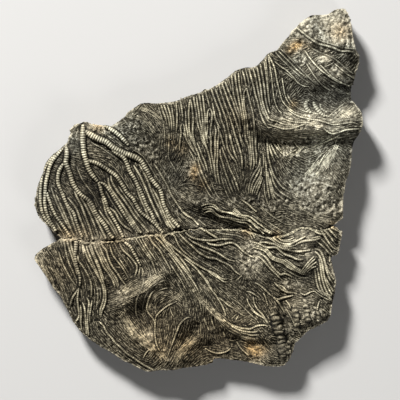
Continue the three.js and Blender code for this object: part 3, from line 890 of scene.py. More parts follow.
CURTAIN_FOOT = [
    (1.1, 0.9, [(280, 300), (300, 385), (322, 455), (352, 525), (392, 605), (432, 675), (462, 725)]),
    (1.1, 0.9, [(120, 30), (150, 85), (190, 160), (240, 235), (280, 300)]),
    (0.9, 0.8, [(200, 0), (215, 80), (245, 160), (285, 250), (310, 330), (345, 400), (375, 470)]),
    (1.0, 0.9, [(270, 130), (302, 200), (332, 282), (362, 350), (384, 425), (404, 490)]),
    (1.0, 0.9, [(310, 60), (360, 150), (392, 230), (412, 300), (432, 400), (447, 485)]),
    (1.0, 0.9, [(400, 60), (428, 130), (428, 220), (442, 300), (462, 400), (472, 500), (482, 570)]),
    (1.0, 0.9, [(470, 80), (476, 250), (466, 380), (481, 520), (502, 610)]),
    (1.0, 0.9, [(500, 80), (502, 250), (496, 400), (512, 530), (535, 620)]),
    (1.0, 0.9, [(528, 200), (532, 280), (556, 360), (582, 450), (622, 560), (652, 640), (692, 725)]),
    (1.0, 0.9, [(548, 180), (562, 230), (602, 330), (642, 440), (682, 520), (712, 600), (745, 700)]),
    (0.9, 0.9, [(520, 0), (545, 90), (572, 180), (600, 250)]),
    (1.0, 0.9, [(600, 0), (602, 150), (622, 230), (662, 300), (702, 350), (722, 410)]),
    (1.0, 0.9, [(630, 0), (645, 90), (672, 200), (702, 290), (735, 350)]),
    (1.0, 0.9, [(690, 0), (700, 70), (722, 140), (762, 280), (772, 400), (770, 450)]),
    (1.0, 0.9, [(738, 0), (745, 60), (770, 120), (800, 180)]),
    (1.0, 0.9, [(792, 0), (805, 80), (832, 150), (852, 250), (852, 400)]),
    (0.9, 0.9, [(845, 0), (855, 80), (865, 200), (872, 330), (862, 450)]),
    (0.9, 0.9, [(880, 0), (882, 100), (892, 250), (902, 370), (885, 450)]),
    (0.9, 0.9, [(922, 0), (920, 100), (920, 200), (930, 280), (925, 380)]),
    (1.0, 0.8, [(970, 310), (955, 400), (905, 475), (865, 560), (845, 640), (848, 720)]),
    (1.0, 0.8, [(975, 340), (962, 440), (922, 520), (882, 600), (862, 700)]),
    (1.0, 0.8, [(990, 400), (972, 500), (925, 585), (892, 660), (880, 720)]),
    (1.0, 0.8, [(995, 460), (965, 560), (925, 640), (902, 710)]),
    (1.0, 0.8, [(995, 520), (965, 610), (935, 690), (920, 730)]),
    (1.2, 0.9, [(1045, 80), (1050, 180), (1060, 300), (1092, 425), (1122, 505), (1162, 565), (1202, 622),
     (1262, 665), (1312, 695)]),
    (1.1, 0.9, [(1065, 420), (1090, 480), (1112, 560), (1152, 640), (1202, 690), (1272, 735),
     (1330, 770)]),
    (1.0, 0.9, [(1070, 500), (1092, 600), (1122, 680), (1182, 730), (1242, 785)]),
    (1.0, 0.9, [(1075, 560), (1100, 660), (1132, 740), (1192, 790)]),
    (0.9, 0.8, [(1045, 420), (1060, 520), (1080, 620), (1102, 720), (1132, 800)]),
    (0.9, 0.8, [(1025, 300), (1035, 400), (1042, 520), (1055, 650), (1075, 760)]),
    (1.0, 0.9, [(1000, 250), (1010, 330), (1005, 430)]),
    (1.0, 0.8, [(1075, 130), (1110, 205), (1150, 280), (1190, 325)]),
    (1.0, 0.8, [(1100, 120), (1150, 190), (1200, 250), (1240, 285)]),
    (1.0, 0.8, [(1060, 130), (1082, 220), (1110, 300), (1140, 360)]),
    (0.9, 0.8, [(1150, 130), (1180, 190), (1215, 240)]),
    (0.9, 0.8, [(1240, 550), (1290, 600), (1330, 650)]),
]
CURTAIN_LEFT_SHEET = (105, 98, 9)
CURTAIN_LEFT = [
    (1.0, 0.9, [(505, 62), (525, 130), (548, 190), (560, 250)]),
    (1.0, 0.9, [(530, 62), (555, 130), (575, 200), (585, 280)]),
    (0.9, 0.9, [(560, 60), (585, 140), (598, 220), (602, 300)]),
    (0.9, 0.9, [(605, 110), (618, 200), (622, 300)]),
    (1.0, 0.9, [(640, 45), (648, 130), (648, 220), (640, 330)]),
]


def arms_on(stone, *sheets, **how):
    """The arms of several sheets that lie on one stone, as rows. A sheet comes with its routes."""
    return [row for sheet, routes in sheets for row in arms(sheet, routes, **how)[stone]]


curtain_rows = arms_on(UPPER, (CURTAIN_TOP_SHEET, CURTAIN_TOP), (CURTAIN_FOOT_SHEET, CURTAIN_FOOT),
                       (CURTAIN_LEFT_SHEET, CURTAIN_LEFT), pale=-0.4, least=1.05)
laid_arms(curtain_rows, "curtain_arms")


# ---- Arms of the top right block and the right ridge ----
# Arms that sweep out of the curtain's top, cross the block and gather on the ridge. The broadest
# bands there, and a few on the fan's head and the lower stone, are sheaves of finer strands.

BLOCK_SHEET = (260, 5, 9)
BLOCK_ARMS = [
    (1.0, 0.9, [(180, 430), (230, 482), (290, 542), (340, 592), (405, 645)]),
    (1.1, 0.9, [(120, 500), (180, 552), (240, 592), (290, 642), (340, 700), (400, 732), (460, 730)]),
    (1.1, 0.9, [(400, 410), (440, 472), (490, 532), (550, 592), (620, 642), (700, 692), (760, 712)]),
    (1.0, 0.9, [(410, 520), (450, 582), (490, 642), (540, 702), (590, 742), (650, 775)]),
    (1.0, 0.9, [(540, 540), (590, 592), (640, 642), (720, 692), (800, 732)]),
    (1.0, 0.9, [(670, 530), (720, 572), (780, 622), (850, 662)]),
    (1.6, 1.2, [(330, 210), (400, 272), (450, 312), (510, 352), (580, 372), (650, 392), (720, 420),
     (790, 422), (860, 430)]),
    (1.3, 1.0, [(100, 500), (128, 560), (145, 640), (160, 720), (180, 790), (198, 860), (250, 925),
     (330, 980)]),
    (1.1, 0.9, [(195, 640), (208, 720), (220, 790), (240, 852), (275, 905)]),
    (0.9, 0.8, [(210, 600), (270, 642), (335, 700)]),
    (0.9, 0.8, [(75, 470), (90, 560), (105, 660), (115, 760), (130, 860), (160, 940), (210, 990)]),
    (0.9, 0.8, [(50, 490), (62, 600), (75, 720), (85, 840), (95, 940)]),
]
RIDGE_ARMS = [
    (1.1, 0.9, [(0, 905), (30, 985), (80, 1030), (150, 1052), (220, 1080), (300, 1085)]),
    (1.2, 0.9, [(240, 930), (300, 982), (370, 1012), (450, 1032), (520, 1042), (590, 1062), (660, 1082),
     (740, 1072), (830, 1062), (915, 1090)]),
    (1.1, 0.9, [(50, 1070), (140, 1100), (220, 1120), (300, 1110), (380, 1082), (450, 1052)]),
    (1.2, 0.9, [(540, 1090), (590, 1132), (640, 1160), (700, 1152), (760, 1130), (850, 1120)]),
    (1.0, 0.9, [(180, 1010), (250, 1045), (330, 1060), (410, 1062), (480, 1070)]),
]
FLANK_SHEET = (262, 118, 11)
FLANK_ARMS = [
    (1.1, 0.9, [(660, 280), (720, 252), (790, 222), (865, 180)]),
    (1.6, 1.1, [(870, 185), (832, 280), (800, 362), (762, 440), (712, 520), (662, 590), (632, 640)]),
    (1.1, 0.9, [(695, 400), (655, 460), (612, 530)]),
    (1.0, 0.9, [(350, 260), (392, 312), (440, 362)]),
    (1.3, 1.1, [(470, 1040), (560, 1082), (650, 1112), (730, 1150), (800, 1160)]),
    (1.2, 1.0, [(395, 950), (450, 1002), (520, 1042)]),
    (1.2, 1.0, [(300, 940), (335, 985), (380, 1000)]),
]

block_rows = arms_on(UPPER, (BLOCK_SHEET, BLOCK_ARMS), stout_from=NEVER, breadth=0.9)
ridge_rows = arms_on(UPPER, (BLOCK_SHEET, RIDGE_ARMS), pale=-0.1, stout_from=NEVER, breadth=0.95)
flank_rows = arms_on(UPPER, (FLANK_SHEET, FLANK_ARMS), sheaved_from=1.2)
laid_arms(block_rows + ridge_rows + flank_rows, "block_arms")

# A broad sheaf's width in millimetres, and its places on the grid.
BROAD_SHEAVES = [
    (2.6, [(262, 112), (272, 119), (286, 122), (304, 119), (320, 122), (338, 122), (354, 117)]),
    (2.2, [(266, 124), (284, 126), (304, 125), (322, 128), (342, 127), (356, 123)]),
    (1.8, [(280, 108), (292, 113), (306, 117), (320, 120)]),
    (2.0, [(326, 120), (336, 112), (346, 104)]),
    (2.2, [(334, 121), (345, 114), (355, 107)]),
    (1.6, [(268, 128), (290, 130), (308, 128)]),
    (1.8, [(300, 150), (312, 146), (328, 138), (344, 134)]),
    (1.8, [(318, 166), (326, 156), (336, 146)]),
    (1.6, [(286, 156), (296, 150), (306, 142)]),
    (2.6, [(118, 299), (122, 311), (127, 322), (134, 333), (142, 340), (152, 347), (161, 355),
           (166, 363)]),
    (1.8, [(172, 362), (178, 352), (188, 343), (203, 335)]),
    (1.9, [(178, 264), (185, 274), (192, 285), (200, 298), (210, 308), (221, 317), (236, 327)]),
    (1.3, [(148, 317), (149, 302), (157, 292), (171, 287)]),
    (1.1, [(164, 309), (170, 301), (177, 296), (184, 291)]),
    (1.2, [(50, 244), (57, 256), (65, 270), (71, 282), (73, 292)]),
    (1.1, [(42, 251), (50, 264), (58, 278), (64, 292), (68, 304)]),
    (1.0, [(36, 254), (44, 268), (52, 282), (58, 292)]),
    (1.4, [(134, 108), (144, 109), (154, 114), (162, 122), (165, 131)]),
    (1.2, [(132, 118), (142, 118), (150, 124), (156, 134)]),
    (1.0, [(194, 278), (204, 285), (214, 295), (224, 305), (228, 315)]),
    (1.0, [(220, 299), (228, 303), (236, 309), (246, 313)]),
    (1.3, [(303, 179), (310, 170), (317, 161), (324, 153)]),
    (1.3, [(313, 179), (322, 167), (331, 156), (337, 145)]),
]
for width, places in BROAD_SHEAVES:
    line = smooth_route([on_stone(x, y) for x, y in places])
    sheaves.append((line, np.full(len(line), width)))


# ---- Cords across the middle ----
# Thick twisted bundles of arms, the highest things on the middle of the slab. They start on the
# upper stone and the break runs along them.

CORD_SHEET = (180, 185, 12)
CORDS = [
    (2.2, 1.5, [(270, 295), (340, 272), (400, 282), (440, 322), (500, 350), (560, 360), (620, 372),
     (680, 392), (740, 406), (800, 412), (850, 442), (900, 492), (950, 522), (1000, 562), (1060, 592),
     (1110, 622), (1150, 652), (1200, 690), (1260, 700), (1330, 690), (1400, 660)]),
    (1.5, 1.2, [(640, 295), (690, 332), (730, 372), (800, 386), (850, 402), (890, 440), (950, 470)]),
    (1.2, 1.0, [(740, 180), (790, 212), (840, 252), (880, 292), (935, 332)]),
    (1.1, 0.9, [(0, 290), (40, 332), (90, 372), (150, 402), (185, 440)]),
    (1.4, 1.0, [(140, 512), (190, 502), (240, 492), (290, 512), (330, 562), (390, 602), (440, 632),
     (480, 660)]),
    (1.6, 1.2, [(760, 530), (810, 542), (850, 572), (880, 622), (890, 660)]),
    (1.4, 1.1, [(1010, 530), (1070, 572), (1110, 600), (1180, 602), (1240, 600)]),
]
NEAR_CORD = [
    (1.2, 1.0, [(440, 590), (482, 652), (522, 722), (562, 792), (592, 862), (642, 942), (692, 1012),
     (742, 1052), (805, 1092)]),
]
cord_rows = arms(CORD_SHEET, CORDS, lift=0.0003, spread=0.0004, pale=0.6, bundled_from=1.45,
                 twisted=True)
laid_arms(cord_rows[UPPER] + arms_on(UPPER, (CURTAIN_LEFT_SHEET, NEAR_CORD)), "upper_cords")


# ---- Arms below the break ----
# The fan's arms go on over the break on to the lower stone, thinner there, and trail away. They
# are the same rings of calcite, half sunk in the stone.

TIP_SHEET = (28, 235, 11)
TIP_ARMS = [
    (1.9, 1.2, [(538, 40), (532, 110), (528, 170), (520, 230), (530, 300), (548, 380), (570, 450),
     (576, 520), (562, 585)]),
    (1.1, 0.9, [(560, 585), (522, 640), (490, 690), (470, 750), (450, 830)]),
    (1.1, 0.9, [(560, 585), (550, 650), (545, 720), (555, 800), (562, 870), (545, 930), (520, 952)]),
    (1.0, 0.9, [(548, 180), (560, 280), (600, 332), (642, 402), (682, 482), (700, 560), (700, 640),
     (692, 700)]),
    (1.3, 1.0, [(598, 85), (630, 170), (660, 250), (702, 330), (752, 412), (792, 482), (822, 552),
     (836, 622), (836, 690), (818, 760), (796, 820), (790, 900)]),
    (1.0, 0.9, [(690, 150), (732, 250), (772, 340), (802, 430), (832, 520), (852, 600), (856, 700),
     (842, 770), (812, 840), (800, 920)]),
    (1.2, 0.9, [(728, 85), (760, 180), (802, 262), (832, 342), (882, 412), (922, 472), (952, 542),
     (962, 600)]),
    (1.0, 0.8, [(690, 100), (722, 190), (760, 280), (790, 350), (815, 420), (845, 500)]),
    (1.2, 0.9, [(798, 70), (832, 130), (866, 170), (892, 262), (932, 342), (982, 412), (1032, 492),
     (1085, 560)]),
    (1.0, 0.8, [(795, 130), (830, 220), (872, 300), (902, 370), (945, 430), (985, 500), (1000, 580)]),
    (1.0, 0.8, [(762, 110), (800, 200), (835, 290), (880, 360), (915, 420), (955, 490), (990, 570),
     (1000, 620)]),
    (0.9, 0.8, [(640, 110), (672, 200), (705, 280), (740, 360), (775, 440), (800, 520)]),
    (0.9, 0.8, [(395, 60), (412, 140), (425, 210), (455, 310), (495, 400), (535, 500)]),
    (0.9, 0.8, [(340, 180), (372, 280), (412, 370), (470, 475), (530, 560)]),
    (0.9, 0.8, [(435, 60), (462, 170), (502, 280), (525, 360), (545, 450)]),
    (0.9, 0.8, [(470, 60), (485, 140), (505, 220), (520, 290)]),
    (1.0, 0.8, [(640, 680), (672, 740), (662, 850), (652, 950), (662, 1080)]),
    (0.9, 0.8, [(598, 740), (622, 800), (632, 900), (640, 1040)]),
    (0.9, 0.8, [(705, 720), (690, 810), (678, 900), (680, 990)]),
    (0.9, 0.8, [(575, 770), (585, 850), (580, 960), (590, 1040)]),
    (1.0, 0.9, [(775, 950), (830, 1000), (870, 1080), (920, 1130), (975, 1195)]),
    (0.9, 0.8, [(600, 90), (615, 190), (625, 260)]),
]
TAIL_SHEET = (105, 285, 12)
TAIL_ARMS = [
    (1.0, 0.8, [(60, 620), (120, 690), (190, 750), (260, 820), (350, 880), (450, 950), (520, 990)]),
]
MIDDLE_SHEET = (110, 228, 12)
MIDDLE_ARMS = [
    (1.3, 0.9, [(25, 130), (65, 130), (100, 145), (130, 210), (160, 265), (210, 310), (255, 355),
     (290, 400), (325, 450), (325, 500), (305, 560), (290, 610)]),
    (1.6, 1.2, [(140, 130), (200, 185), (250, 225), (290, 300), (330, 370), (355, 430), (385, 465)]),
    (0.9, 0.8, [(380, 470), (400, 520), (385, 580)]),
    (1.0, 0.8, [(365, 470), (352, 530), (350, 590)]),
    (1.2, 0.9, [(300, 110), (340, 170), (380, 230), (420, 290), (460, 340), (500, 390), (522, 440),
     (542, 500), (562, 560)]),
    (0.9, 0.8, [(385, 120), (422, 190), (472, 270), (522, 340), (562, 400)]),
    (0.9, 0.8, [(355, 130), (395, 200), (440, 275), (490, 350), (530, 420)]),
    (1.2, 0.9, [(440, 80), (480, 120), (502, 160), (532, 200), (582, 250), (612, 290), (642, 350),
     (672, 400), (702, 450), (727, 500), (735, 550)]),
    (1.1, 0.9, [(520, 80), (570, 130), (612, 170), (652, 220), (692, 262), (732, 302), (772, 352),
     (812, 402), (852, 452), (892, 502), (932, 552), (972, 602), (1012, 662), (1052, 732), (1082, 790)]),
    (1.1, 0.9, [(590, 60), (612, 110), (642, 150), (682, 212), (722, 262), (762, 312), (802, 362),
     (842, 412), (882, 462), (922, 512), (962, 562), (1000, 610)]),
    (1.1, 0.9, [(640, 110), (662, 160), (702, 202), (742, 242), (772, 292), (822, 332), (862, 382),
     (902, 432), (942, 492), (972, 542), (1000, 590)]),
    (1.3, 0.9, [(690, 82), (655, 100), (652, 130), (682, 170), (742, 212), (802, 262), (852, 302),
     (902, 340), (942, 370), (992, 410), (1052, 442), (1112, 482), (1172, 512), (1232, 560), (1300, 602),
     (1340, 638)]),
    (1.0, 0.8, [(740, 70), (776, 100), (802, 160), (832, 220), (882, 280), (932, 320), (992, 370)]),
    (1.2, 0.9, [(790, 20), (832, 70), (882, 122), (932, 172), (982, 215), (1032, 262), (1082, 310),
     (1132, 332), (1192, 355), (1260, 362), (1335, 400)]),
    (1.3, 1.0, [(860, 30), (902, 50), (942, 90), (1002, 122), (1062, 137), (1132, 150), (1202, 146),
     (1290, 146)]),
    (1.1, 0.9, [(940, 120), (982, 160), (1042, 190), (1102, 220), (1162, 246), (1232, 270), (1302, 300),
     (1340, 328)]),
    (1.1, 0.9, [(895, 370), (942, 402), (992, 442), (1042, 492), (1092, 542), (1132, 592), (1172, 642),
     (1202, 702), (1242, 772), (1280, 830)]),
    (0.9, 0.8, [(700, 300), (745, 360), (790, 420), (830, 480), (870, 540), (905, 600), (950, 680)]),
    (0.9, 0.8, [(720, 420), (765, 490), (810, 560), (850, 620), (890, 700), (930, 770)]),
    (0.9, 0.8, [(0, 205), (32, 312), (72, 372), (112, 422), (152, 472), (192, 542), (232, 612)]),
    (1.0, 0.8, [(110, 360), (150, 420), (195, 490), (240, 560)]),
]
CENTRE_SHEET = (195, 228, 12)
CENTRE_ARMS = [
    (1.3, 1.0, [(0, 132), (80, 142), (160, 150), (240, 146), (300, 132), (360, 132), (430, 132),
     (490, 150)]),
    (1.2, 1.0, [(125, 150), (160, 186), (220, 202), (300, 206), (370, 186), (430, 176), (480, 190),
     (530, 230), (580, 282), (640, 322), (720, 360)]),
    (1.2, 0.9, [(0, 182), (80, 222), (160, 252), (240, 286), (300, 316), (350, 350), (400, 380),
     (470, 396), (490, 405)]),
    (1.2, 0.9, [(0, 252), (50, 292), (110, 332), (180, 362), (260, 372), (310, 402), (370, 426),
     (430, 460), (470, 510), (530, 556), (560, 570)]),
    (1.1, 0.9, [(560, 570), (520, 610), (490, 632)]),
    (1.1, 0.9, [(0, 442), (60, 462), (130, 502), (200, 532), (260, 572), (310, 622), (360, 650),
     (420, 646)]),
    (0.9, 0.8, [(190, 515), (250, 552), (310, 602), (370, 616), (410, 600)]),
    (1.1, 0.9, [(0, 482), (60, 540), (110, 602), (150, 662), (190, 732), (240, 792), (280, 852),
     (320, 922), (350, 992), (375, 1060)]),
    (1.1, 0.9, [(290, 835), (340, 872), (380, 912), (430, 942), (480, 966), (520, 976)]),
    (1.0, 0.9, [(520, 1010), (560, 1040), (600, 1060)]),
    (1.2, 1.0, [(720, 655), (770, 682), (820, 722), (860, 762), (900, 800), (950, 830)]),
    (1.1, 0.9, [(615, 760), (670, 772), (720, 802), (780, 842)]),
    (1.0, 0.9, [(670, 970), (720, 1010), (790, 1060), (850, 1090), (880, 1100)]),
    (0.8, 0.7, [(600, 680), (630, 655), (660, 632)]),
    (0.9, 0.8, [(810, 770), (842, 820), (862, 890), (882, 960)]),
    (1.3, 1.0, [(150, 50), (200, 80), (250, 102), (290, 140), (310, 160)]),
    (0.9, 0.8, [(620, 830), (640, 900), (680, 960), (740, 1030)]),
    (0.9, 0.8, [(700, 820), (710, 900), (740, 960), (790, 1020), (830, 1080)]),
]

lower_left_rows = arms_on(LOWER, (TIP_SHEET, TIP_ARMS), (TAIL_SHEET, TAIL_ARMS), pale=-0.2,
                          least=1.1)
laid_arms(lower_left_rows, "lower_left_arms")
middle_rows = arms_on(LOWER, (MIDDLE_SHEET, MIDDLE_ARMS), (CENTRE_SHEET, CENTRE_ARMS))
laid_arms(middle_rows, "lower_middle_arms")


# ---- Folded arms on the right ----
# Bundles of calcite arms that fold back on themselves at the slab's right edge, and the cords'
# lower ends, which come over the break. They stand a little higher than the stone round them.

FOLD_LEFT = [
    (1.6, 1.2, [(700, 216), (780, 236), (840, 262), (880, 302), (920, 352), (990, 382), (1060, 402),
     (1110, 442), (1180, 482), (1260, 512)]),
    (1.2, 1.0, [(770, 170), (850, 172), (900, 186), (960, 192), (1000, 222), (1040, 242), (1110, 242),
     (1180, 236), (1240, 262)]),
    (1.3, 1.0, [(790, 310), (840, 342), (880, 392), (910, 442), (950, 492), (1000, 540), (1030, 562),
     (1070, 546), (1120, 562), (1180, 600)]),
    (1.3, 1.0, [(760, 340), (800, 372), (840, 412), (880, 462), (930, 512), (980, 562), (1030, 612),
     (1060, 640)]),
    (1.3, 1.0, [(950, 650), (1000, 702), (1050, 742), (1110, 772), (1180, 776), (1230, 790)]),
    (1.0, 0.9, [(1000, 680), (1050, 702), (1090, 742), (1130, 770)]),
    (1.2, 1.0, [(940, 830), (1000, 856), (1060, 836), (1120, 822), (1200, 800)]),
    (1.0, 0.9, [(970, 860), (1010, 912), (1050, 972), (1080, 1020)]),
    (1.1, 0.9, [(1090, 870), (1130, 920), (1150, 980)]),
]
FOLD_SHEET = (252, 220, 11)
FOLD_RIGHT = [
    (1.3, 1.0, [(0, 240), (80, 262), (130, 292), (180, 302), (260, 302), (310, 342), (370, 382),
     (430, 402), (500, 432), (580, 432)]),
    (1.2, 1.0, [(190, 262), (260, 272), (310, 302), (370, 322), (430, 332), (500, 346), (560, 342),
     (640, 330)]),
    (1.2, 1.0, [(210, 172), (250, 212), (300, 246), (360, 262), (430, 256), (480, 232), (540, 202),
     (600, 172)]),
    (1.2, 1.0, [(460, 272), (530, 242), (600, 226), (680, 220), (740, 202), (770, 185)]),
    (1.0, 0.9, [(650, 200), (700, 190), (770, 176)]),
    (1.2, 1.0, [(620, 60), (680, 120), (740, 150), (800, 155), (850, 130)]),
    (1.1, 1.0, [(700, 225), (745, 262), (800, 312), (850, 370), (885, 392)]),
    (1.1, 1.0, [(760, 210), (800, 250), (845, 305), (890, 360), (930, 375)]),
    (1.1, 1.0, [(800, 180), (835, 235), (875, 290), (935, 330)]),
    (1.2, 1.0, [(830, 150), (872, 200), (905, 250), (945, 285)]),
    (1.2, 1.0, [(855, 110), (900, 160), (940, 205), (972, 222)]),
    (1.2, 1.0, [(870, 80), (930, 115), (985, 145)]),
    (1.6, 1.3, [(350, 450), (400, 482), (450, 522), (500, 552), (560, 582), (600, 576)]),
    (1.0, 0.9, [(600, 576), (650, 532), (690, 512), (722, 512)]),
    (1.0, 0.9, [(580, 570), (625, 525), (680, 480), (722, 450)]),
    (1.0, 0.9, [(562, 565), (605, 515), (655, 460), (705, 415)]),
    (1.0, 0.9, [(545, 560), (585, 505), (635, 445), (685, 395)]),
    (1.4, 1.1, [(690, 315), (745, 335), (775, 385), (795, 440), (812, 500), (840, 560), (870, 610),
     (900, 650)]),
    (1.3, 1.0, [(690, 345), (732, 382), (758, 430), (775, 500), (785, 570), (802, 650), (830, 730),
     (862, 790), (885, 830)]),
    (1.2, 1.0, [(735, 430), (752, 500), (762, 590), (778, 670), (800, 745), (835, 815), (862, 850)]),
    (1.2, 1.0, [(715, 530), (732, 600), (745, 680), (765, 750), (795, 810), (830, 840)]),
    (1.2, 1.0, [(690, 540), (700, 610), (712, 690), (730, 750), (760, 795), (800, 825)]),
    (1.1, 1.0, [(790, 470), (822, 560), (850, 640), (885, 690), (900, 720)]),
    (1.1, 1.0, [(800, 600), (825, 670), (860, 730), (892, 780)]),
    (1.6, 1.2, [(700, 760), (745, 795), (800, 830), (870, 862)]),
    (1.2, 1.0, [(850, 380), (860, 430), (850, 470)]),
    (1.0, 0.9, [(740, 890), (722, 950), (712, 1010)]),
    (1.0, 0.9, [(755, 975), (805, 1000), (850, 1040)]),
    (1.0, 0.9, [(530, 800), (580, 822), (640, 792), (690, 780)]),
]
fold_rows = arms_on(LOWER, (CENTRE_SHEET, FOLD_LEFT), (FOLD_SHEET, FOLD_RIGHT), lift=0.0001,
                    pale=0.4, bundled_from=1.5)
laid_arms(fold_rows + cord_rows[LOWER], "folded_arms")


# ---- Star rays and bottom ridges ----
# Smooth pale ribs of calcite that spread round a hollow at the foot of the slab, and the strands
# of the bottom ridge. Both are rows of rings, worn more than the rest.

RAYS = [
    (2.6, 1.8, [(130, 800), (180, 740), (232, 692), (300, 650)]),
    (2.8, 1.8, [(150, 845), (230, 792), (330, 742), (420, 702), (470, 652), (540, 602), (610, 562),
     (660, 540)]),
]
STAR = [
    (1.8, 1.3, [(285, 170), (265, 240), (268, 330), (272, 420), (302, 500), (352, 580), (402, 640),
     (462, 690), (522, 742), (582, 782), (642, 822), (692, 870), (730, 905), (740, 975)]),
    (1.3, 1.0, [(370, 590), (430, 610), (490, 650), (540, 700), (600, 760)]),
    (1.2, 0.9, [(600, 60), (560, 100), (530, 160), (512, 220), (500, 290), (530, 350), (570, 395),
     (600, 450), (600, 520), (602, 600), (612, 680), (642, 760), (690, 830)]),
    (1.1, 0.9, [(610, 450), (606, 400), (632, 350), (682, 302), (732, 262), (782, 232), (832, 210),
     (882, 180)]),
    (0.9, 0.8, [(742, 280), (712, 340), (690, 390)]),
    (0.9, 0.8, [(782, 280), (802, 340), (832, 390)]),
    (0.9, 0.8, [(1015, 260), (1012, 320), (1022, 380)]),
    (1.2, 1.0, [(1030, 392), (990, 386), (940, 422), (892, 482), (862, 560), (832, 640), (802, 720),
     (772, 800), (742, 880)]),
    (0.9, 0.8, [(892, 510), (922, 582)]),
    (1.4, 1.1, [(1180, 600), (1130, 622), (1070, 672), (1010, 732), (960, 802), (902, 872), (850, 932),
     (800, 990)]),
    (1.0, 0.9, [(1132, 180), (1150, 270), (1165, 350)]),
    (0.9, 0.8, [(1185, 380), (1210, 442), (1242, 530)]),
    (1.0, 0.9, [(600, 90), (660, 60), (720, 40), (780, 30)]),
    (0.9, 0.8, [(560, 765), (512, 790), (482, 830), (452, 890)]),
    (0.9, 0.8, [(588, 812), (560, 850), (530, 890)]),
    (1.0, 0.9, [(740, 210), (770, 195), (800, 185)]),
]
FOOT_SHEET = (200, 295, 12)
FOOT_ARMS = [
    (1.8, 1.2, [(0, 32), (60, 92), (130, 162), (190, 222), (250, 272), (300, 312), (332, 352), (392, 392),
     (442, 422), (492, 442), (522, 482), (562, 492), (622, 512), (682, 512), (730, 496)]),
    (1.2, 0.9, [(280, 290), (360, 346), (420, 372), (480, 392), (540, 402), (610, 402), (670, 372),
     (730, 360), (790, 362), (830, 390)]),
    (1.2, 0.9, [(330, 330), (400, 382), (460, 412), (520, 432), (590, 442), (650, 442), (700, 430)]),
    (1.1, 0.9, [(450, 420), (510, 452), (560, 466), (620, 482), (680, 476), (720, 470)]),
    (1.0, 0.9, [(440, 396), (500, 420), (560, 432), (620, 440)]),
    (1.1, 0.9, [(230, 36), (280, 72), (330, 112), (390, 152), (440, 166)]),
    (1.0, 0.8, [(205, 10), (240, 82), (280, 152), (310, 230)]),
    (0.8, 0.7, [(440, 230), (400, 262), (372, 300)]),
    (0.8, 0.7, [(470, 240), (442, 272), (422, 320)]),
    (0.8, 0.7, [(492, 250), (472, 292), (462, 330)]),
    (1.0, 0.8, [(470, 210), (510, 242), (540, 260)]),
    (1.1, 0.9, [(610, 170), (650, 206), (710, 246), (760, 272), (800, 322), (830, 346)]),
    (0.9, 0.8, [(710, 180), (750, 232), (790, 292), (820, 340)]),
    (0.9, 0.8, [(790, 90), (822, 160)]),
    (1.0, 0.9, [(440, 560), (482, 632), (542, 692), (600, 740)]),
    (0.8, 0.7, [(400, 560), (430, 620)]),
    (1.0, 0.8, [(60, 640), (130, 682), (210, 702), (290, 692), (350, 662), (382, 620)]),
    (0.9, 0.8, [(40, 280), (80, 362), (112, 430)]),
    (0.9, 0.8, [(130, 260), (150, 340), (185, 420)]),
    (0.9, 0.8, [(270, 420), (292, 482), (302, 520)]),
    (1.0, 0.9, [(760, 540), (802, 602), (832, 640)]),
    (1.1, 1.0, [(880, 30), (930, 76), (970, 130), (1012, 190)]),
    (1.2, 1.0, [(1030, 580), (1062, 622), (1085, 682), (1080, 742), (1050, 790)]),
    (1.1, 1.0, [(1200, 520), (1152, 572), (1122, 622), (1110, 655)]),
    (1.1, 1.0, [(1080, 560), (1118, 600)]),
]
ray_rows = arms_on(LOWER, (MIDDLE_SHEET, RAYS), (TAIL_SHEET, STAR), pale=-0.2, sheaved_from=1.3,
                   breadth=1.0)
foot_rows = arms_on(LOWER, (FOOT_SHEET, FOOT_ARMS), pale=0.2, sheaved_from=1.5)
laid_arms(ray_rows + foot_rows, "bottom_arms")


# ---- The stone beside the arms ----
# Limestone shows between the arms and all round the slab's sides. It gets painted shadow in a narrow band
# beside each arm, and is paler where it is bare or broken.

TALLY = 0.0002  # a finer survey, of where something already lies
ARM_SHADOW = 0.00028  # the width of the painted shadow beside an arm
BARE_ENDS = 2  # steps at each end of an arm with no painted shadow beside them
SIDE_BELOW, SIDE_RUN = 0.0095, 0.002  # stone below this height is the side, in full this far down
tally_size = (int((cad_box[1][0] - cad_box[0][0]) / TALLY) + 20,
              int((cad_box[1][1] - cad_box[0][1]) / TALLY) + 20)
arm_shadowed = np.zeros(tally_size, bool)


def tally(x, y):
    """The cell of the tally that holds a place."""
    return (int((x - cad_box[0][0]) / TALLY), int((y - cad_box[0][1]) / TALLY))


def stamp(sheet, x, y, reach):
    """The cells of a tally sheet within reach of a place are marked."""
    i, j = tally(x, y)
    n = int(math.ceil(reach / TALLY))
    di, dj = np.ogrid[-n:n + 1, -n:n + 1]
    disc = di * di + dj * dj <= (reach / TALLY) ** 2
    part = sheet[max(i - n, 0):i + n + 1, max(j - n, 0):j + n + 1]
    part |= disc[max(n - i, 0):, max(n - j, 0):][:part.shape[0], :part.shape[1]]


def stamp_line(sheet, line, widths, beside):
    """An arm's own width, and so much on either side of it, is marked."""
    for (x, y), (nx, ny), width in zip(line[:-1], line[1:], widths):
        for t in (0, 0.33, 0.67):
            stamp(sheet, x + (nx - x) * t, y + (ny - y) * t, width * 0.0005 + beside)


def arm_shadow_at(x, y):
    """Whether each place is in the painted shadow beside an arm, as 0 or 1."""
    i = ((x - cad_box[0][0]) / TALLY).astype(int).clip(0, tally_size[0] - 1)
    j = ((y - cad_box[0][1]) / TALLY).astype(int).clip(0, tally_size[1] - 1)
    return arm_shadowed[i, j].astype(float)
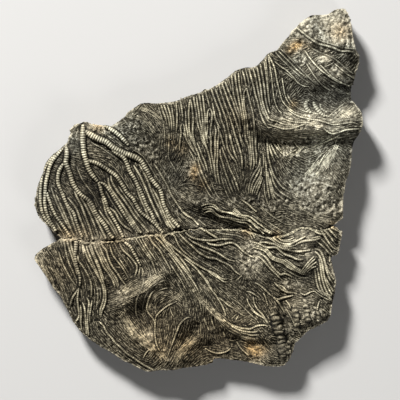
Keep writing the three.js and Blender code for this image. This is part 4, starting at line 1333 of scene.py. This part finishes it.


# Where each arm's painted shadow falls beside it is tallied.
for _, line, widths in laid_lines:
    stamp_line(arm_shadowed, line[BARE_ENDS:-BARE_ENDS], widths[BARE_ENDS:-BARE_ENDS], ARM_SHADOW)
for rock in (upper_rock, lower_rock):
    places, normals = vertices_of(rock), normals_of(rock)
    side = np.clip((SIDE_BELOW - places[:, 2]) / SIDE_RUN, 0, 1)
    steep = side * (1 - np.clip(normals[:, 2], 0, 1))
    bare = bareness(places[:, 0], places[:, 1]) * normals[:, 2] * (1 - side)
    # The stone's mark of painted shade and highlight: higher on the sides and where bare, lower where
    # steep, and lowered by painted shadow in the band beside each arm.
    groove = arm_shadow_at(places[:, 0], places[:, 1]) * (1 - side)
    set_mark(rock, "crest_light", (0.34 + 0.16 * side - 0.26 * steep + 0.26 * bare) * (1 - 0.7 * groove))
    set_mark(rock, "tone", 0.1 * bare + 0.6 * steep)
    stained_and_light_painted(rock, *ON_STONE)


# ---- Slender arms ----
# Thin side arms, rows of small calcite rings like the others, packed between them wherever they
# run side by side, and a little lower and darker than they are.

SLENDER_WIDTH = 0.88  # millimetres
SLENDER_MOST, SLENDER_LEAST = 0.02, 0.006  # how far one may run each way, and the shortest kept
SLENDER_WANDER = 0.012
SIDE_BY_SIDE = 1.6  # so many arms' lines near a place are side by side
ALIGNED, COMBED = 0.9, 0.6  # how alike they lie, and how much combed sheaf there may be instead
TRACE = 0.0003  # from one place of a fine line to the next
FIELD = 0.0016  # from one reading of the lie to the next
ARM_REACH, COMB_REACH = 0.0019, 7.5 * SQUARE  # how far off the lie of an arm or comb is felt
MARGIN = 0.0005  # nothing fine starts nearer than this to the box round the slab
SLENDER_TRIES = 0.0006  # from one try at an arm to the next
# How near to a line another may run, and may start: beside a main arm, and beside a slender one.
BESIDE_ARM, BESIDE_SLENDER = (0.00040, 0.00060), (0.00045, 0.00070)

# How the fine branches lie: a place on the grid, and the direction, anticlockwise from the right.
LAY = [
    (40, 190, 95), (52, 190, -32), (48, 178, -20), (58, 172, -25), (72, 165, -32), (75, 176, -25),
    (86, 175, -14), (90, 188, -30), (93, 200, -80), (68, 195, -50), (55, 208, -30), (62, 215, -32),
    (86, 150, 10), (96, 150, -15), (104, 158, -10), (104, 170, -75), (110, 178, -60), (72, 150, -5),
    (126, 168, -80), (122, 176, -75), (130, 182, -65), (98, 133, -25), (78, 128, -40), (75, 140, 90),
    (118, 132, -35), (130, 112, 45), (124, 120, 42), (136, 118, 50), (148, 112, -45), (155, 122, -52),
    (140, 128, -30), (150, 130, -60), (134, 140, -25), (145, 145, -40), (150, 150, 75), (160, 148, 80),
    (168, 140, 88), (154, 160, -70), (166, 160, 45), (172, 170, 50), (160, 172, -60), (178, 180, 60),
    (172, 190, -50), (186, 178, 35), (190, 188, -40), (182, 196, -20), (196, 196, -20), (205, 198, -25),
    (186, 160, 80), (192, 168, -70), (218, 196, -12), (200, 210, -20), (212, 218, -20), (190, 214, -35),
    (232, 204, -30), (250, 208, -20), (262, 205, -60), (276, 208, 20), (290, 205, -30), (306, 28, -20),
    (300, 34, -25), (320, 26, 10), (332, 28, 40), (342, 40, -60), (340, 20, 60), (318, 38, -40),
    (345, 58, 50), (352, 64, 50), (336, 56, 45), (304, 54, 35), (314, 52, 30), (306, 66, 40),
    (316, 70, 42), (328, 62, 30), (336, 70, -32), (344, 80, -34), (292, 50, 20), (280, 66, -15),
    (290, 72, 10), (296, 66, 40), (286, 60, -40), (292, 88, 52), (300, 92, 50), (288, 94, 40),
    (314, 90, -42), (326, 92, -42), (338, 92, -45), (346, 96, -45), (320, 98, -40), (344, 112, 45),
    (352, 110, 48), (336, 118, 40), (330, 106, -40), (288, 106, -50), (278, 112, -40), (296, 112, -30),
    (312, 120, -20), (324, 114, 10), (300, 104, -10), (275, 76, 85), (282, 84, 82), (278, 96, 80),
    (300, 126, 2), (330, 127, 0), (350, 124, -8), (272, 124, -20), (286, 124, 5), (290, 140, 0),
    (320, 138, 15), (345, 136, 25), (275, 150, -55), (285, 150, -50), (296, 154, -35), (306, 152, -20),
    (300, 166, -25), (316, 160, 45), (328, 150, 40), (322, 172, 60), (336, 160, -50), (342, 168, -52),
    (334, 176, -48), (345, 150, -40), (308, 180, 20), (318, 186, -15), (300, 190, -30), (310, 200, 15),
    (326, 196, 50), (334, 206, -10), (320, 210, -15), (300, 212, -20), (290, 180, -45), (284, 168, -60),
    (334, 190, -60), (40, 258, -50), (50, 262, -62), (56, 275, -62), (62, 290, -65), (70, 300, -75),
    (60, 250, -70), (76, 318, -72), (88, 335, -60), (98, 262, -10), (104, 272, -8), (112, 262, -5),
    (96, 290, -85), (106, 292, 2), (106, 304, 0), (96, 306, 85), (112, 314, -35), (98, 320, -70),
    (100, 334, -45), (114, 340, -42), (128, 352, -38), (140, 362, -30), (124, 328, -50), (138, 312, -46),
    (134, 304, -40), (138, 324, -50), (120, 300, 40), (150, 300, -70), (152, 320, -80), (160, 300, 25),
    (166, 312, 60), (172, 320, -60), (166, 340, 80), (178, 330, 70), (186, 320, 75), (180, 300, -30),
    (192, 300, -80), (196, 316, 80), (190, 340, 50), (176, 355, 60), (150, 340, -60), (152, 356, 45),
    (124, 280, 35), (140, 276, 25), (150, 268, -60), (164, 262, -45), (176, 284, -55), (208, 316, -85),
    (216, 326, -82), (206, 334, -88), (224, 336, -70), (238, 340, 20), (214, 350, -5), (196, 356, 40),
    (230, 352, -10), (246, 348, -45), (256, 342, -55), (252, 356, -40), (266, 350, -60), (240, 302, -55),
    (256, 304, -62), (262, 316, -58), (246, 314, 35), (232, 306, -45), (268, 300, -60), (276, 312, -65),
    (290, 300, -20), (300, 302, -5), (312, 300, -10), (304, 312, 0), (318, 312, -50), (296, 326, 10),
    (308, 324, 5), (282, 330, 5), (282, 345, 0), (276, 356, -5), (290, 336, -60), (300, 278, -12),
    (312, 272, -20), (318, 262, -35), (300, 262, -30), (250, 262, -55), (244, 250, -30), (256, 276, -50),
    (240, 280, 60), (236, 290, -30), (218, 262, -30), (206, 262, -35), (222, 276, -30), (206, 280, -50),
    (262, 288, -30), (284, 288, -20), (300, 288, -15), (328, 240, -50), (320, 250, 40), (330, 280, -75),
    (322, 300, -60), (306, 242, -10), (280, 254, -35),
]

field_x = np.arange(cad_box[0][0], cad_box[1][0] + FIELD, FIELD)
field_y = np.arange(cad_box[0][1], cad_box[1][1] + FIELD, FIELD)
taken = np.zeros(tally_size, bool)  # where no line goes on
crowded = np.zeros(tally_size, bool)  # where none starts


def lie_of(places, turns, reach):
    """The lie of the given lines all over the slab, and how many lines are near each place."""
    places, turns = np.array(places), np.exp(2j * np.array(turns))
    lie = np.zeros((len(field_x), len(field_y)), complex)
    near = np.zeros(lie.shape)
    for i, x in enumerate(field_x):
        for j, y in enumerate(field_y):
            weight = np.exp(-((places - (x, y)) ** 2).sum(1) / (2 * reach ** 2))
            lie[i, j], near[i, j] = (weight * turns).sum(), weight.sum()
    return lie, near


def at(grid, x, y):
    """The reading of a field at a place."""
    u = min(max((x - field_x[0]) / FIELD, 0), len(field_x) - 1.001)
    v = min(max((y - field_y[0]) / FIELD, 0), len(field_y) - 1.001)
    i, j = int(u), int(v)
    u, v = u - i, v - j
    return ((1 - u) * (1 - v) * grid[i, j] + u * (1 - v) * grid[i + 1, j]
            + (1 - u) * v * grid[i, j + 1] + u * v * grid[i + 1, j + 1])


arm_places = np.vstack([line[1:-1:2] for _, line, _ in laid_lines])
arm_turns = np.concatenate([
    np.arctan2(*(line[2:] - line[:-2])[::2].T[::-1]) for _, line, _ in laid_lines])
arm_lie, arm_near = lie_of(arm_places, arm_turns, ARM_REACH)
comb_lie = lie_of([on_stone(x, y) for x, y, _ in LAY],
                  np.radians([turn for _, _, turn in LAY]), COMB_REACH)[0]


def traced(x, y, lie, reach, wander):
    """A line through the place, along the lie, until it meets something or the rim."""
    home = int(stone_at(x, y))
    halves = []
    start = 0.5 * np.angle(at(lie, x, y)) + picker.gauss(0, wander * 2)
    for way in (0, math.pi):
        px, py, heading, half = x, y, start + way, []
        while len(half) * TRACE < reach:
            wanted = 0.5 * np.angle(at(lie, px, py))
            swing = (wanted - heading + math.pi / 2) % math.pi - math.pi / 2
            heading += 0.5 * swing + picker.gauss(0, wander)
            px, py = px + TRACE * math.cos(heading), py + TRACE * math.sin(heading)
            if stone_at(px, py) != home or taken[tally(px, py)]:
                break
            half.append((px, py))
        halves.append(half)
    return home, np.array(halves[1][::-1] + [(x, y)] + halves[0])


def seeds(spacing):
    """Places all over the slab, in a shuffled order."""
    found = [(x + picker.uniform(-0.4, 0.4) * spacing, y + picker.uniform(-0.4, 0.4) * spacing)
             for x in np.arange(cad_box[0][0] + MARGIN, cad_box[1][0] - MARGIN, spacing)
             for y in np.arange(cad_box[0][1] + MARGIN, cad_box[1][1] - MARGIN, spacing)]
    picker.shuffle(found)
    return found


def stamp_arm(line, widths, beside):
    """No other line runs or starts too near this one."""
    stamp_line(taken, line, widths, beside[0])
    stamp_line(crowded, line, widths, beside[1])


for _, line, widths in laid_lines:
    stamp_arm(line, widths, BESIDE_ARM)
between = {UPPER: [], LOWER: []}
for x, y in seeds(SLENDER_TRIES):
    if not stone_at(x, y) or crowded[tally(x, y)] or at(arm_near, x, y) < SIDE_BY_SIDE:
        continue
    if (abs(at(arm_lie, x, y)) < ALIGNED * at(arm_near, x, y)
            or abs(at(comb_lie, x, y)) > COMBED):
        continue
    home, line = traced(x, y, arm_lie, SLENDER_MOST, SLENDER_WANDER)
    if len(line) * TRACE < SLENDER_LEAST:
        continue
    widths = np.full(len(line), SLENDER_WIDTH * picker.uniform(0.8, 1.15))
    stamp_arm(line, widths, BESIDE_SLENDER)
    between[home].append((line[::3], widths[::3]))
for home, name in ((UPPER, "upper_slender_arms"), (LOWER, "lower_slender_arms")):
    laid_arms([
        row_of(slender_ring, SLENDER_PITCH, line, widths, picker.uniform(-0.0002, -0.0001),
               picker.uniform(-1.2, -0.6)) for line, widths in between[home] if len(line) > 4], name)


# ---- Pinnules ----
# The finest branches, like the barbs of a feather, of the same calcite. They fill the spaces
# between the arms, and where the arms are gone they lie in matted sheaves, each combed one way.

PINNULE_WIDTH = 0.52  # millimetres
PINNULE_GAP = 0.00078  # from one to the next
PINNULE_KNUCKLE = 0.00042  # from a knuckle to the next waist
PINNULE_TRIES, GRAIN_TRIES = 0.00046, 0.00066  # from one try to the next
PINNULES_BESIDE = (0.00004, 0.00014)  # how near to an arm one may run, and may start
PINNULE_LEAST, PINNULE_MOST = 0.0009, 0.0032  # how far one runs each way
PINNULE_WANDER = 0.11
SHEAF_GAP = 0.00040  # from one strand of a sheaf to the next
GRAIN_LEAST, GRAIN_MOST = 0.00016, 0.0004  # the size of a loose grain
TOP_HALF = 0.00005  # what is higher on a thread gets the painted highlight, the rest painted shade
pinnule_lie = 2.2 * comb_lie + 0.13 * arm_lie + 1e-9
# The first colour is painted shade for crevices, the last the pale of worn crests with a painted
# highlight.
pinnule_calcite = fossil_material("pinnule_calcite", linear(11, 10, 7), linear(76, 70, 54),
                                  linear(172, 163, 138), 1700.0, 1.2, 1.3, 0.00042, 0.15)

taken[:], crowded[:] = False, False
for _, line, widths in laid_lines:
    stamp_arm(line, widths, PINNULES_BESIDE)
for home in between:
    for line, widths in between[home]:
        stamp_arm(line, widths, PINNULES_BESIDE)
loose = []  # coarse grains, which the pinnules pass round
for x, y in seeds(GRAIN_TRIES):
    if not stone_at(x, y) or crowded[tally(x, y)]:
        continue
    if picker.random() < 0.12 + 0.8 * float(bareness(x, y)):
        size = picker.uniform(GRAIN_LEAST, GRAIN_MOST)
        turn = 0.5 * np.angle(at(pinnule_lie, x, y)) + picker.gauss(0, 0.5)
        loose.append((x, y, size, turn))
        stamp(taken, x, y, size * 0.8)
        stamp(crowded, x, y, size)
pinnule_lines = {UPPER: [], LOWER: []}
for x, y in seeds(PINNULE_TRIES):
    if not stone_at(x, y) or crowded[tally(x, y)] or bareness(x, y) > picker.uniform(0.1, 1):
        continue
    reach = picker.uniform(PINNULE_LEAST, PINNULE_MOST)
    home, line = traced(x, y, pinnule_lie, reach, PINNULE_WANDER)
    if len(line) < 4:
        continue
    for px, py in line:
        stamp(taken, px, py, PINNULE_GAP * 0.55)
        stamp(crowded, px, py, PINNULE_GAP * 0.92)
    pinnule_lines[home].append(line)


def threads(name, lines, radii):
    """Many fine threads at once, four-sided, each along its own line with its own radii."""
    data = bpy.data.curves.new(name, "CURVE")
    data.dimensions, data.twist_mode = "3D", "Z_UP"
    data.bevel_depth, data.bevel_resolution, data.use_fill_caps = 0.0005, 0, True
    for line, radius in zip(lines, radii):
        spline = data.splines.new("POLY")
        spline.points.add(len(line) - 1)
        places = np.c_[line, np.zeros(len(line)), np.ones(len(line))]
        spline.points.foreach_set("co", places.ravel())
        spline.points.foreach_set("radius", radius)
    piece = bpy.data.objects.new(name, data)
    bpy.context.collection.objects.link(piece)
    only(piece)
    bpy.ops.object.convert(target="MESH")
    piece = bpy.context.object
    with shaping():
        bpy.ops.mesh.remove_doubles(threshold=0.000001)
        bpy.ops.mesh.normals_make_consistent(inside=False)
    return piece


def strands(lines, name, tone=0.0):
    """Pinnules: knuckled threads that taper to both ends."""
    knuckled, radii = [], []
    for line in lines:
        knuckles = max(3, int(len(line) * TRACE / PINNULE_KNUCKLE))
        marks = np.linspace(0, len(line) - 1, knuckles)
        knuckled.append(np.c_[[np.interp(marks, np.arange(len(line)), line[:, k]) for k in (0, 1)]].T)
        taper = 1 - 0.5 * np.linspace(-1, 1, knuckles) ** 4
        width = PINNULE_WIDTH * picker.uniform(0.75, 1.2) * taper
        width[1::2] *= 0.66
        radii.append(width)
    piece = threads(name, knuckled, radii)
    places = vertices_of(piece)
    # The top of a thread gets a painted highlight, weaker in the painted shadow beside an arm, and its
    # sides painted shade.
    groove = arm_shadow_at(places[:, 0], places[:, 1])
    set_mark(piece, "crest_light", np.where(places[:, 2] > TOP_HALF, 1.0 - 0.35 * groove, 0.15))
    set_mark(piece, "tone", tone + 1.7 * flat_ripples(places, 1300, 8.8))
    places[:, 2] = (np.maximum(places[:, 2] * 1.2, -0.0001)
                    + 0.00022 * flat_ripples(places, 520, 3.3))
    put_vertices(piece, places)
    rounded(piece)
    return piece


sheaf_lines = []
for line, widths in sheaves:
    marks = np.linspace(0, len(line) - 1, int(len(line) * STEP / TRACE))
    xs, ys, wide = (np.interp(marks, np.arange(len(line)), values)
                    for values in (line[:, 0], line[:, 1], widths * 0.001))
    along = np.gradient(np.c_[xs, ys], axis=0)
    across = np.c_[-along[:, 1], along[:, 0]] / np.hypot(*along.T)[:, None]
    for beside in np.arange(-0.62, 0.63, SHEAF_GAP / wide.mean()):
        start = picker.randrange(0, max(1, len(xs) // 4))
        sway = 0.12 * np.sin(marks * picker.uniform(0.15, 0.35) + picker.uniform(0, 6))
        strand = np.c_[xs, ys] + across * ((beside + sway) * wide)[:, None]
        strand = strand[start:len(xs) - picker.randrange(0, max(1, len(xs) // 4))]
        sheaf_lines += [(home, part) for home, part, _ in runs_on(strand, np.ones(len(strand)))]
for home, name in ((UPPER, "upper_sheaves"), (LOWER, "lower_sheaves")):
    lines = [line for stone, line in sheaf_lines if stone == home]
    finished(lay(strands(lines, name, 0.35), SHEAF_HEAVE), pinnule_calcite, ON_STONE)
for home, name in ((UPPER, "upper_pinnules"), (LOWER, "lower_pinnules")):
    finished(lay(strands(pinnule_lines[home], name)), pinnule_calcite, ON_STONE)


# ---- Stems and coiled arms ----
# Thick crushed stems at the lower right, rows of broad ribbed discs of calcite, and arms at the
# right ridge whose tips are rolled into coils. Both are half sunk in the stone.

noise.seed_set(36)  # without it, noise_vector gives other values on each run
STEM_PITCH = 0.0020
STEM_CRUSH = 0.0009  # how far the discs are pushed about
stem_disc = ossicle("stem_disc", STEM_PITCH, 12, 0.40, (0.9, 0.45), 0.0, 0.0003, tall=0.45)
STEMS = [
    (5.6, 5.2, [(272, 306), (274, 316), (278, 328), (281, 342), (283, 360)]),
    (3.6, 3.2, [(288, 340), (287, 350), (288, 361)]),
    (3.4, 3.6, [(292, 298), (294, 308), (295, 320), (297, 334)]),
    (3.8, 3.4, [(303, 298), (306, 308), (307, 320), (306, 327)]),
    (2.6, 2.4, [(313, 300), (316, 310), (318, 321)]),
]
COILS = [
    (2.5, 2.7, [(309, 99.5), (305.5, 102), (305, 106), (307.5, 110), (312, 114)]),
    (2.5, 2.4, [(313, 101), (314, 105), (317, 109.5), (321, 114), (326, 117)]),
    (1.7, 1.5, [(320, 103), (320, 107), (323.5, 110.5), (328, 113)]),
]


def stem_rows(unit, pitch, routes, lift, pale):
    """Rows along routes on the grid, sorted by stone. A route is as in arms."""
    sorted_rows = {UPPER: [], LOWER: []}
    for first, last, places in routes:
        line = smooth_route([on_stone(x, y) for x, y in places])
        for stone, part, widths in runs_on(line, np.linspace(first, last, len(line))):
            sorted_rows[stone].append(row_of(unit, pitch, part, widths, lift,
                                             pale + picker.uniform(-0.2, 0.2)))
    return sorted_rows


stems = gather(stem_rows(stem_disc, STEM_PITCH, STEMS, lift=-0.0001, pale=-0.45)[LOWER],
               "crushed_stems")
places = vertices_of(stems)
places += STEM_CRUSH * np.array([
    noise.noise_vector((x * 640, y * 640, 2.2)) for x, y, _ in places.tolist()])
put_vertices(stems, places)
finished(lay(stems), pinnule_calcite, ON_STONE)
coils = gather(stem_rows(stout_ring, STOUT_PITCH, COILS, lift=-0.0002, pale=-0.3)[UPPER],
               "coiled_arms")
finished(lay(coils), arm_calcite, ON_ARMS)


# ---- Crumbs ----
# Coarse grains of calcite: loose where the stone is bare and rough, and in a cream line of small
# flakes along the break, left from the mending.

FLAKES = 1800
FLAKE_LEAST, FLAKE_MOST = 0.00015, 0.00042
GRAIN_UNEVENNESS = 0.00024
CHIP_LINE = [(60, 238.5), (66, 239.5), (73, 238.7), (80, 239.6), (84, 242), (90, 242.6),
             (103, 241.3), (119, 240), (131, 237.8), (146, 235), (164, 234), (180, 230.6),
             (200, 228), (212, 229.4), (236, 229), (257, 234), (267, 237), (287, 234),
             (301, 227), (319, 230), (333, 226)]


def crumbs(places, name, crest_light, lift):
    """Small uneven grains. A place is x, y, size and turn."""
    lines, radii = [], []
    for x, y, size, turn in places:
        reach = np.array([-1.5, -0.6, 0.7, 1.6]) * size
        lines.append(np.c_[x + reach * math.cos(turn), y + reach * math.sin(turn)])
        radii.append(size * 1000 * np.array(
            [0.4, picker.uniform(0.8, 1.35), picker.uniform(0.7, 1.3), 0.35]))
    piece = threads(name, lines, radii)
    corners = vertices_of(piece)
    # The top of a grain gets a painted highlight and its sides painted shade.
    set_mark(piece, "crest_light", np.where(corners[:, 2] > TOP_HALF, crest_light, 0.15))
    set_mark(piece, "tone", 1.8 * flat_ripples(corners, 1500, 7.7))
    corners += GRAIN_UNEVENNESS * np.array([
        noise.noise_vector((x * 2600, y * 2600, z * 2600)) for x, y, z in corners.tolist()])
    corners[:, 2] = np.maximum(corners[:, 2], -0.0002) + lift
    put_vertices(piece, corners)
    return lay(piece)


flakes = []
chip_route = smooth_route([on_stone(x, y) for x, y in CHIP_LINE])
for number in range(FLAKES):
    along = picker.random() ** (1.0 if number % 2 else 2.2)
    x, y = chip_route[int(min(along, 0.999) * len(chip_route))]
    x, y = x + picker.gauss(0, 0.0003), y + picker.gauss(-0.0001, 0.00021)
    if stone_at(x, y):
        flakes.append((x, y, picker.uniform(FLAKE_LEAST, FLAKE_MOST), picker.gauss(0, 0.5)))
for home, name in ((UPPER, "upper_crumbs"), (LOWER, "lower_crumbs")):
    grains = [grain for grain in loose if stone_at(*grain[:2]) == home]
    finished(crumbs(grains, name, crest_light=0.8, lift=-0.00008), pinnule_calcite, ON_STONE)
finished(crumbs(flakes, "break_chips", crest_light=1.0, lift=0.00025), arm_calcite, ON_ARMS)


# ---- Floor, light and camera ----
# The slab lies face up on a pale table. A soft lamp stands beyond its top edge, low enough to
# model the relief, with weak light from all round, and the camera looks straight down.

bpy.ops.object.select_all(action="DESELECT")
bpy.ops.mesh.primitive_plane_add(size=4, location=(0, 0, 0))
table = bpy.context.object
table.name = "table"
paper = bpy.data.materials.new("pale_table")
paper.use_nodes = True
paper.node_tree.nodes["Principled BSDF"].inputs["Base Color"].default_value = (0.62, 0.61, 0.59, 1)
paper.node_tree.nodes["Principled BSDF"].inputs["Roughness"].default_value = 0.8
table.data.materials.append(paper)


AIM = (0, 0, 0.01)  # both lamps look at the middle of the face


def lamp(name, place, size, power):
    data = bpy.data.lights.new(name, "AREA")
    data.size, data.energy = size, power
    light = bpy.data.objects.new(name, data)
    bpy.context.collection.objects.link(light)
    light.location = place
    toward = np.array(AIM) - np.array(place)
    light.rotation_euler = (
        math.atan2(math.hypot(toward[0], toward[1]), -toward[2]), 0,
        math.atan2(toward[1], toward[0]) - math.pi / 2)


lamp("window", (-0.80, 1.45, 1.00), 0.36, 79)
lamp("fill", (0.6, -0.75, 0.6), 0.5, 3.0)
world = bpy.data.worlds.new("room")
world.use_nodes = True
world.node_tree.nodes["Background"].inputs["Color"].default_value = (0.95, 0.97, 1.0, 1)
world.node_tree.nodes["Background"].inputs["Strength"].default_value = 0.035
bpy.context.scene.world = world
bpy.context.scene.view_settings.view_transform = "Standard"

FACE_HEIGHT = 0.0100
LENS, SENSOR = 180, 36
VIEW_WIDTH = 400 * SQUARE
VIEW_CENTRE = on_stone(199.5, 199.5)
camera_data = bpy.data.cameras.new("camera")
camera_data.lens, camera_data.sensor_width = LENS, SENSOR
camera = bpy.data.objects.new("camera", camera_data)
bpy.context.collection.objects.link(camera)
camera.location = (*VIEW_CENTRE, FACE_HEIGHT + VIEW_WIDTH * LENS / SENSOR)
camera.rotation_euler = (0, 0, 0)
bpy.context.scene.camera = camera
